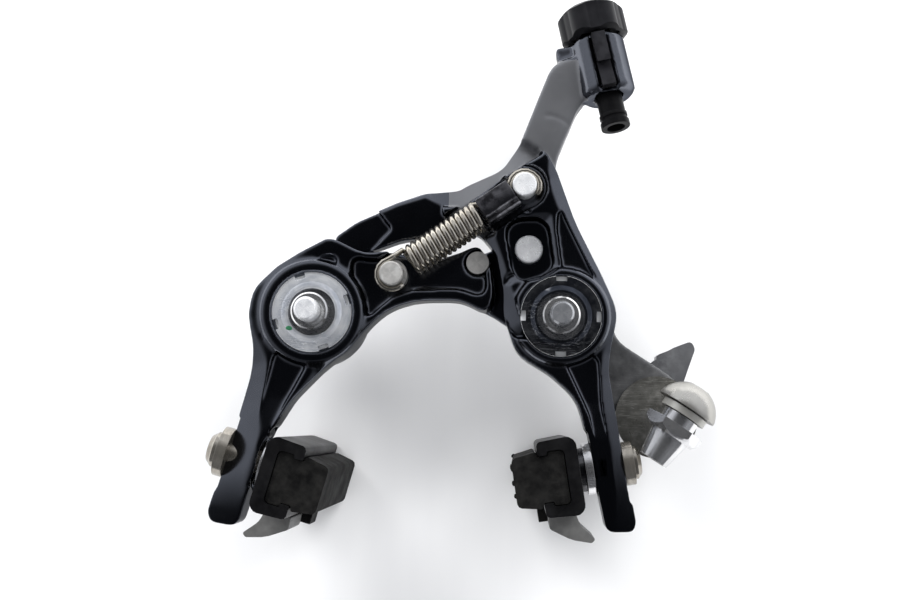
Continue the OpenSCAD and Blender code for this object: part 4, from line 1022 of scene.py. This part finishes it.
@dataclass
class Arms:
    """The two forged arms and the pins pressed into them, in millimetres."""

    shop: Workshop
    voxel: float = 0.42
    passes: int = 6
    pin_bevel: float = 0.25
    # Corners of the box in which the adjuster arm's camera-facing faces get the painted sheen.
    neck_low: Triple = (2.3, 8.6, 25.6)
    neck_high: Triple = (40.0, 15.2, 66.0)
    boss_foot: float = 58.0
    boss_blend: float = 7.0
    boss_passes: int = 16
    gutter: float = 0.9
    gutter_depth: float = 0.8
    gutter_facing: float = -0.2
    skin: float = 0.2
    back_y: float = 5.0
    channel: float = 1.9
    fade_from: float = -21.0
    fade_over: float = 9.0
    end_low: Triple = (43.0, 14.0, -40.0)
    end_high: Triple = (70.0, 21.0, 0.0)

    def slope(self, made: bpy.types.Object, slopes: Sequence[Slope]) -> None:
        """Lowers an arm's face where its slopes run, and fades its channels out down the leg.

        Args:
            made: The arm, with small even faces.
            slopes: The slopes.
        """
        for vertex in made.data.vertices:
            x, y, z = (v / MM for v in vertex.co)
            if z < self.fade_from and self.back_y < y < self.back_y + self.channel:
                left = max(0.0, 1.0 - (self.fade_from - z) / self.fade_over)
                y = self.back_y + (y - self.back_y) * left
            for one in slopes:
                if y < one.face_y + one.deepest + self.skin:
                    depth = one.depth(x, z)
                    if depth > 0.0 and y < one.face_y + depth:
                        y = one.face_y + depth
            vertex.co.y = y * MM
        made.data.update()

    def forge(self, node: str, name: str, body: str, slopes: Sequence[Slope]) -> bpy.types.Object:
        """One arm, with forged edges and slopes.

        Args:
            node: The CAD node.
            name: The piece's name.
            body: Its body.
            slopes: The slopes beside its faces.

        Returns:
            The piece.
        """
        bm = self.shop.copy(node, 0.0)
        made = self.shop.soften(name, bm, self.voxel, 1)
        self.slope(made, slopes)
        boss = made.vertex_groups.new(name="boss")
        for vertex in made.data.vertices:
            share = (vertex.co.z / MM - self.boss_foot) / self.boss_blend
            if share > 0.0:
                boss.add([vertex.index], min(share, 1.0), "REPLACE")
        for group, passes in (("", self.passes), ("boss", self.boss_passes)):
            smooth = made.modifiers.new("soft_edges", "SMOOTH")
            smooth.factor, smooth.iterations, smooth.vertex_group = HALF_WAY, passes, group
        self.shop.settle(made)
        made.vertex_groups.clear()
        for seat in SEATS[body]:
            seat.clear(self.shop, made)
        if node == "adjuster_arm":
            self.press_in(made, "detent_strip")
        made.data.shade_smooth()
        return self.shop.dress(made, body, FORGED_BLACK, node)

    def press_in(self, arm: bpy.types.Object, node: str) -> None:
        """Presses a narrow gutter into the face of an arm around a strip that is let into it.

        Args:
            arm: The arm, in the row frame.
            node: The strip's CAD node.
        """
        bm = self.shop.copy(node)
        tree = BVHTree.FromBMesh(bm)
        bm.free()
        reach = self.gutter * MM
        for vertex in arm.data.vertices:
            if vertex.normal.y < self.gutter_facing:
                found = tree.find_nearest(vertex.co, reach)
                if found[0] is not None:
                    vertex.co.y += self.gutter_depth * MM * (1.0 - (found[3] / reach) ** 2)
        arm.data.update()

    @staticmethod
    def refinish(arm: bpy.types.Object, finish: Finish, low: Triple, high: Triple) -> None:
        """Gives the faces of an arm that the camera sees another finish inside a box.

        Args:
            arm: The dressed arm.
            finish: The finish.
            low: The box's low corner in millimetres.
            high: Its high corner.
        """
        arm.data.materials.append(finish.material(f"{arm.name}_second_finish"))
        least, most = mm(*low), mm(*high)
        for face in arm.data.polygons:
            spot = face.center
            if face.normal.y < SEEN and all(least[i] <= spot[i] <= most[i] for i in range(3)):
                face.material_index = 1

    def pin(self, node: str, body: str, finish: Finish) -> None:
        """One pressed pin, with its turned head.

        Args:
            node: The CAD node.
            body: Its body.
            finish: Its finish.
        """
        low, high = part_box(node)
        middle = tuple((low + high) / 2 / MM)
        self.shop.rounded(node, f"{node}_head", body, finish, self.pin_bevel, 2, centre=middle, turn=ALONG_Y)

    def build(self) -> None:
        """Makes and dresses both arms and their pins."""
        anchor = self.forge("anchor_arm", "forged_anchor_arm", "left_arm", LEFT_SLOPES)
        self.refinish(anchor, FORGED_MOTTLED, self.end_low, self.end_high)
        adjuster = self.forge("adjuster_arm", "forged_adjuster_arm", "right_arm", RIGHT_SLOPES)
        # The neck's camera-facing faces take the paler copy of the arm's finish: a painted sheen.
        self.refinish(adjuster, FORGED_PAINTED_SHEEN, self.neck_low, self.neck_high)
        # The left arm's pins take PIN_STEEL, a darker copy of BRIGHT_PIN: painted shade.
        for node, body, finish in (
            ("spring_pin_left", "left_arm", PIN_STEEL), ("stop_pin", "left_arm", PIN_STEEL),
            ("spring_pin_upper", "right_arm", BRIGHT_PIN), ("link_pin", "right_arm", BRIGHT_PIN),
        ):
            self.pin(node, body, finish)
        for node in ("link_roller", "link_clip"):
            self.shop.coat(node, PIN_STEEL)


@dataclass
class ReturnSpring:
    """The coil spring and the plastic sleeve over its upper hook, in millimetres."""

    shop: Workshop
    coil_start: Triple = (-6.6, 4.6, 13.0)
    coil_end: Triple = (10.2, 4.6, 24.6)
    smooth_angle: float = 50.0
    sleeve_bevel: float = 0.3

    def build(self) -> None:
        """Makes the spring, fixed where the CAD model places it, and its sleeve."""
        bm = self.shop.copy("return_spring", 0.0)
        spring = self.shop.piece("coil_spring", bm, self.smooth_angle, weighted=False)
        spring.data.materials.clear()
        spring.data.materials.append(SPRING_WIRE.material("coil_spring_finish"))
        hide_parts("return_spring")
        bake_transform(spring)
        LOG.info("coil_spring stretches between its pins, %d faces", len(spring.data.polygons))
        self.shop.rounded("spring_sleeve", "hook_sleeve", "spring_head", SLEEVE_BLACK, self.sleeve_bevel, 2)


@dataclass
class Adjuster:
    """Knob, threaded barrel and detent strip."""

    shop: Workshop
    foot: Triple = (40.9, 12.0, 64.3)
    turn: Triple = (-10.0, -12.2, 0.0)

    def build(self) -> None:
        """Makes and dresses the adjuster."""
        spot = {"centre": self.foot, "turn": self.turn}
        for node, name, body, finish, bevel, steps in (
            ("adjuster_knob", "knob", "knob", KNOB_PLASTIC, 0.35, 3),
            ("adjuster_barrel", "barrel", "barrel", BLACK_PLASTIC, 0.18, 2),
            ("detent_strip", "detent", "right_arm", KNOB_PLASTIC, 0.25, 2),
        ):
            self.shop.rounded(node, name, body, finish, bevel, steps, **spot)


@dataclass
class CableAnchor:
    """Quick release cam, lever, and the cable clamp that it carries."""

    shop: Workshop
    axis: Triple = (58.09, 6.6, -28.19)
    tilt: Triple = (0.0, 32.6, 0.0)
    cam: Triple = (55.6, 0.0, -24.2)

    def build(self) -> None:
        """Makes and dresses the quick release and the cable anchor."""
        spot = {"centre": self.axis, "turn": self.tilt}
        on_cam = {"centre": self.cam, "turn": ALONG_Y}
        for node, name, finish, bevel, steps in (
            ("anchor_bolt", "dome", DOME_STEEL, 0.3, 3),
            ("anchor_nut", "hex_and_taper", BRIGHT_STEEL, 0.25, 2),
            ("cable_plate", "plate", SATIN_NICKEL, 0.2, 2),
            ("anchor_trunnion", "trunnion", SATIN_NICKEL, 0.2, 2),
        ):
            self.shop.rounded(node, name, "cable_anchor", finish, bevel, steps, **spot)
        for node, name, finish, bevel, steps, place in (
            # The disc's darker nickel is painted shade.
            ("anchor_disc", "disc", NICKEL_PAINTED_SHADE, 0.15, 2, on_cam),
            ("release_lever", "lever", DARK_LEVER, 0.5, 3, {}),
            ("cam_shaft", "shaft", BRIGHT_STEEL, 0.2, 2, on_cam),
        ):
            self.shop.rounded(node, name, "release_cam", finish, bevel, steps, **place)


@dataclass
class Shoe:
    """One brake shoe: bolt, washers, holder, rubber, screw and guide fin."""

    shop: Workshop
    side: str

    def build(self) -> None:
        """Makes and dresses the shoe."""
        body = f"{self.side}_shoe"
        spot = {"centre": FOOT[self.side], "turn": (0.0, LEAN[self.side], 0.0)}
        for part, finish, bevel in (
            ("shoe_bolt", WARM_STEEL, 0.25), ("outer_washer", WARM_STEEL, 0.15),
            ("seat_washer", BRIGHT_STEEL, 0.15), ("spacer", DULL_STEEL, 0.15),
            ("shoe_holder", BLACK_PLASTIC, 0.35), ("brake_rubber", RUBBER, 0.3),
            ("pad_screw", BRIGHT_STEEL, 0.12), ("guide_fin", GREY_NYLON, 0.3),
        ):
            node = f"{part}_{self.side}"
            self.shop.rounded(node, f"{node}_form", body, finish, bevel, 2, **spot)


@dataclass(frozen=True)
class Placed:
    """A small thing at the image point of its name: its carrier and its half sizes in millimetres."""

    name: str
    carrier: str
    body: str
    size: Triple
    finish: Finish


TRIMMINGS: Tuple[Placed, ...] = (
    Placed("torn_rubber_1", "brake_rubber_right_form", "right_shoe", (0.6, 0.6, 0.45), RUBBER),
    Placed("torn_rubber_2", "brake_rubber_right_form", "right_shoe", (0.5, 0.9, 0.4), RUBBER),
    Placed("torn_rubber_3", "brake_rubber_right_form", "right_shoe", (0.6, 0.7, 0.5), RUBBER),
    Placed("torn_rubber_4", "brake_rubber_right_form", "right_shoe", (0.5, 0.6, 0.45), RUBBER),
    Placed("paint_dab", "ring_left", "left_arm", (0.9, 0.6, 0.12), GREEN_PAINT),
)


@dataclass
class Trimmings:
    """Small things, each set where the camera's ray meets the piece that carries it."""

    shop: Workshop
    rig: CameraRig
    reach: float = 90.0
    half_tries: int = 60
    uneven: float = 0.18
    smooth_angle: float = 80.0
    seed: int = 11

    def land(self, x: float, y: float, carrier: bpy.types.Object) -> Tuple[Vector, Vector]:
        """Where the ray through an image point meets a carrier.

        A ray that misses takes the carrier's nearest place to it.

        Args:
            x: Image point, from the left.
            y: Image point, from the top.
            carrier: The piece.

        Returns:
            The place and the carrier's direction there.
        """
        tree = BVHTree.FromObject(carrier, bpy.context.evaluated_depsgraph_get())
        start, aim = self.rig.ray(x, y)
        spot, normal, _, _ = tree.ray_cast(start, aim)
        if spot is not None:
            return spot, normal
        middle = sum((Vector(c) for c in carrier.bound_box), Vector()) / 8
        depth = (middle - start).dot(aim)
        tries = range(-self.half_tries, self.half_tries + 1)
        steps = [depth + self.reach * MM * i / self.half_tries for i in tries]
        found = min((tree.find_nearest(start + aim * step) for step in steps), key=lambda near: near[3])
        return found[0], found[1]

    def build(self) -> None:
        """Makes every small thing and lets it ride with its carrier."""
        rng = random.Random(self.seed)
        marks = {mark.name: mark for mark in IMAGE_POINTS}
        for one in TRIMMINGS:
            mark = marks[one.name]
            spot, normal = self.land(mark.x, mark.y, bpy.data.objects[one.carrier])
            bm = bmesh.new()
            bmesh.ops.create_icosphere(bm, subdivisions=3, radius=1.0)
            for vertex in bm.verts:
                vertex.co *= 1.0 + self.uneven * (rng.random() - 0.5)
            bmesh.ops.smooth_vert(bm, verts=bm.verts, factor=HALF_WAY,
                                  use_axis_x=True, use_axis_y=True, use_axis_z=True)
            turn = normal.to_track_quat("Z", "Y").to_matrix().to_4x4()
            size = Matrix.Diagonal((*[value * MM for value in one.size], 1.0))
            bmesh.ops.transform(bm, matrix=Matrix.Translation(spot) @ turn @ size, verts=bm.verts)
            self.shop.dress(self.shop.piece(one.name, bm, self.smooth_angle), one.body, one.finish)


# ---------------------------------------------------------------- stage


@dataclass(frozen=True)
class Lamp:
    """One soft white area lamp, its place and size in metres."""

    name: str
    place: Triple
    size: float
    watts: float


@dataclass
class Studio:
    """The pale table that the caliper lies on, the lamps and the sky.

    The table's height and the lamps' aim are in millimetres, its width in metres.
    """

    table_y: float = 36.5
    table_width: float = 3.0
    # The table's two pale tones, between which faint vertical streaks run as painted reflections.
    table_dark: Colour = (0.86, 0.86, 0.865)
    table_pale: Colour = (0.91, 0.91, 0.912)
    streaks: float = 40.0
    streak_squeeze: float = 0.12
    sky_low: Colour = (0.11, 0.113, 0.124)
    sky_high: Colour = (0.72, 0.74, 0.79)
    dim_side: Colour = (0.012, 0.013, 0.016)
    plain_light: Colour = (0.86, 0.87, 0.89)
    aim: Triple = (5.0, 5.0, 0.0)
    lamps: Tuple[Lamp, ...] = (
        Lamp("key_left", (-0.55, -0.5, 0.75), 0.6, 10.5),
        Lamp("key_right", (0.6, -0.5, 0.7), 0.6, 9.5),
        Lamp("far_side", (-0.1, 0.5, 0.25), 0.5, 1.6),
    )

    def build_table(self) -> None:
        """Makes the table: pale, with faint streaks painted on as reflections, and seen through from behind.
        """
        bm = bmesh.new()
        bmesh.ops.create_grid(bm, x_segments=1, y_segments=1, size=self.table_width / 2)
        bmesh.ops.rotate(bm, verts=bm.verts, cent=(0, 0, 0), matrix=Matrix.Rotation(math.radians(90), 3, "X"))
        bmesh.ops.translate(bm, verts=bm.verts, vec=mm(0, self.table_y, 0))
        mesh = bpy.data.meshes.new("table_top")
        bm.to_mesh(mesh)
        bm.free()
        table = bpy.data.objects.new("table_top", mesh)
        bpy.context.scene.collection.objects.link(table)
        made = bpy.data.materials.new("table_paint")
        made.use_nodes = True
        made.node_tree.nodes.clear()
        graph = Graph(made.node_tree)
        lay = graph.add("ShaderNodeMapping")
        graph.join(graph.add("ShaderNodeTexCoord").outputs["Object"], lay.inputs["Vector"])
        lay.inputs["Scale"].default_value = (1.0, 1.0, self.streak_squeeze)
        # Faint vertical streaks painted as reflections on the table.
        painted_reflection = graph.spread(graph.noise(lay.outputs["Vector"], self.streaks, 3.0), 0.35, 0.65)
        colour = graph.mix(painted_reflection, self.table_dark, self.table_pale)
        paint = graph.add("ShaderNodeBsdfDiffuse")
        graph.join(colour, paint.inputs["Color"])
        path = graph.add("ShaderNodeLightPath")
        behind = graph.add("ShaderNodeNewGeometry").outputs["Backfacing"]
        open_ray = graph.maths("MAXIMUM", behind, path.outputs["Is Shadow Ray"])
        both = graph.add("ShaderNodeMixShader")
        graph.join(open_ray, both.inputs["Fac"])
        graph.join(paint.outputs["BSDF"], both.inputs[1])
        graph.join(graph.add("ShaderNodeBsdfTransparent").outputs["BSDF"], both.inputs[2])
        graph.join(both.outputs["Shader"], graph.add("ShaderNodeOutputMaterial").inputs["Surface"])
        mesh.materials.append(made)
        table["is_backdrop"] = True

    def build_sky(self) -> None:
        """White behind the object, a dim side where the photographer stood, plain light elsewhere."""
        world = bpy.data.worlds.new("studio_sky")
        bpy.context.scene.world = world
        world.use_nodes = True
        world.node_tree.nodes.clear()
        graph = Graph(world.node_tree)
        parts = graph.add("ShaderNodeSeparateXYZ")
        graph.join(graph.add("ShaderNodeTexCoord").outputs["Generated"], parts.inputs["Vector"])
        front = graph.spread(graph.maths("MULTIPLY", parts.outputs["Y"], -1.0), 0.58, 0.9)
        height = graph.spread(parts.outputs["Z"], -0.75, 0.45)
        around = graph.mix(height, self.sky_low, self.sky_high)
        sky = graph.mix(front, around, self.dim_side)
        path = graph.add("ShaderNodeLightPath")
        plain = graph.mix(path.outputs["Is Diffuse Ray"], sky, self.plain_light)
        white = graph.maths("MAXIMUM", path.outputs["Is Camera Ray"], path.outputs["Is Transmission Ray"])
        shown = graph.mix(white, plain, (1.0, 1.0, 1.0))
        light = graph.add("ShaderNodeBackground")
        graph.join(shown, light.inputs["Color"])
        graph.join(light.outputs["Background"], graph.add("ShaderNodeOutputWorld").inputs["Surface"])

    def build_lamps(self) -> None:
        """The soft lamps, each aimed at the caliper."""
        for lamp in self.lamps:
            data = bpy.data.lights.new(lamp.name, "AREA")
            data.shape, data.size, data.energy = "DISK", lamp.size, lamp.watts
            made = bpy.data.objects.new(lamp.name, data)
            bpy.context.scene.collection.objects.link(made)
            made.location = lamp.place
            made.visible_glossy = False
            made.rotation_mode = "QUATERNION"
            made.rotation_quaternion = (mm(*self.aim) - Vector(lamp.place)).to_track_quat("-Z", "Y")

    def build(self) -> None:
        """Makes the whole stage."""
        self.build_table()
        self.build_sky()
        self.build_lamps()
        bpy.context.scene.view_settings.view_transform = "Standard"


# ---------------------------------------------------------------- measuring


class Sight:
    """What the camera sees: which places are hidden, and where pieces show in the image.

    A place counts as shown up to the slack, in millimetres, behind what hides it.
    """

    slack: float = 0.25
    most_points: int = 4000

    def __init__(self, rig: CameraRig) -> None:
        """Reads every shown piece of the finished object."""
        self.rig = rig
        graph = bpy.context.evaluated_depsgraph_get()
        self.points: Dict[str, List[Vector]] = {}
        all_points: List[Vector] = []
        all_faces: List[Sequence[int]] = []
        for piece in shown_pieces():
            seen = piece.evaluated_get(graph)
            mesh = seen.to_mesh()
            start = len(all_points)
            own = [seen.matrix_world @ v.co for v in mesh.vertices]
            all_points += own
            all_faces += [[start + i for i in p.vertices] for p in mesh.polygons]
            self.points[piece.name] = own
            seen.to_mesh_clear()
        self.tree = BVHTree.FromPolygons(all_points, all_faces)

    def shows(self, point: Vector) -> bool:
        """Whether nothing hides a point from the camera."""
        eye = self.rig.matrix().to_translation()
        aim = point - eye
        hit = self.tree.ray_cast(eye, aim.normalized(), aim.length - self.slack * MM)
        return hit[0] is None

    def shown(self, names: Iterable[str]) -> List[Tuple[float, float]]:
        """Image places of the vertices that show of some pieces.

        Args:
            names: Piece names; none means all of them.

        Returns:
            Image places.
        """
        chosen = list(names) or list(self.points)
        places = []
        for name in chosen:
            own = self.points.get(name, [])
            step = max(1, len(own) // self.most_points)
            places += [self.rig.project(p) for p in own[::step] if self.shows(p)]
        return places

    def offsets(self, wanted: Sequence[ImagePoint]) -> Dict[str, Dict[str, float]]:
        """How far each thing shows from its image point.

        Args:
            wanted: The image points.

        Returns:
            The x and y offsets by name.
        """
        found: Dict[str, Dict[str, float]] = {}
        for mark in wanted:
            places = self.shown(mark.pieces)
            if not places:
                continue
            xs, ys = [p[0] for p in places], [p[1] for p in places]
            middle = ((min(xs) + max(xs)) / 2, (min(ys) + max(ys)) / 2)
            ends = {"left": (min(xs), None), "right": (max(xs), None),
                    "top": (None, min(ys)), "bottom": (None, max(ys)), None: middle}
            at_x, at_y = ends[mark.edge]
            found[mark.name] = {}
            if mark.x is not None and at_x is not None:
                found[mark.name]["x"] = round(at_x - mark.x, 2)
            if mark.y is not None and at_y is not None:
                found[mark.name]["y"] = round(at_y - mark.y, 2)
        return found


def main() -> None:
    """Builds the sub-assemblies in order, then measures where the image points show."""
    logging.basicConfig(level=logging.INFO, format="%(message)s")
    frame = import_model()
    RIG.place()
    shop = Workshop(frame["nodes"])
    Pivots(shop).build()
    Arms(shop).build()
    ReturnSpring(shop).build()
    Adjuster(shop).build()
    CableAnchor(shop).build()
    for side in ("left", "right"):
        Shoe(shop, side).build()
    bpy.context.view_layer.update()
    Trimmings(shop, RIG).build()
    Studio().build()
    bpy.context.view_layer.update()
    Sight(RIG).offsets(IMAGE_POINTS)


if __name__ == "__main__":
    main()
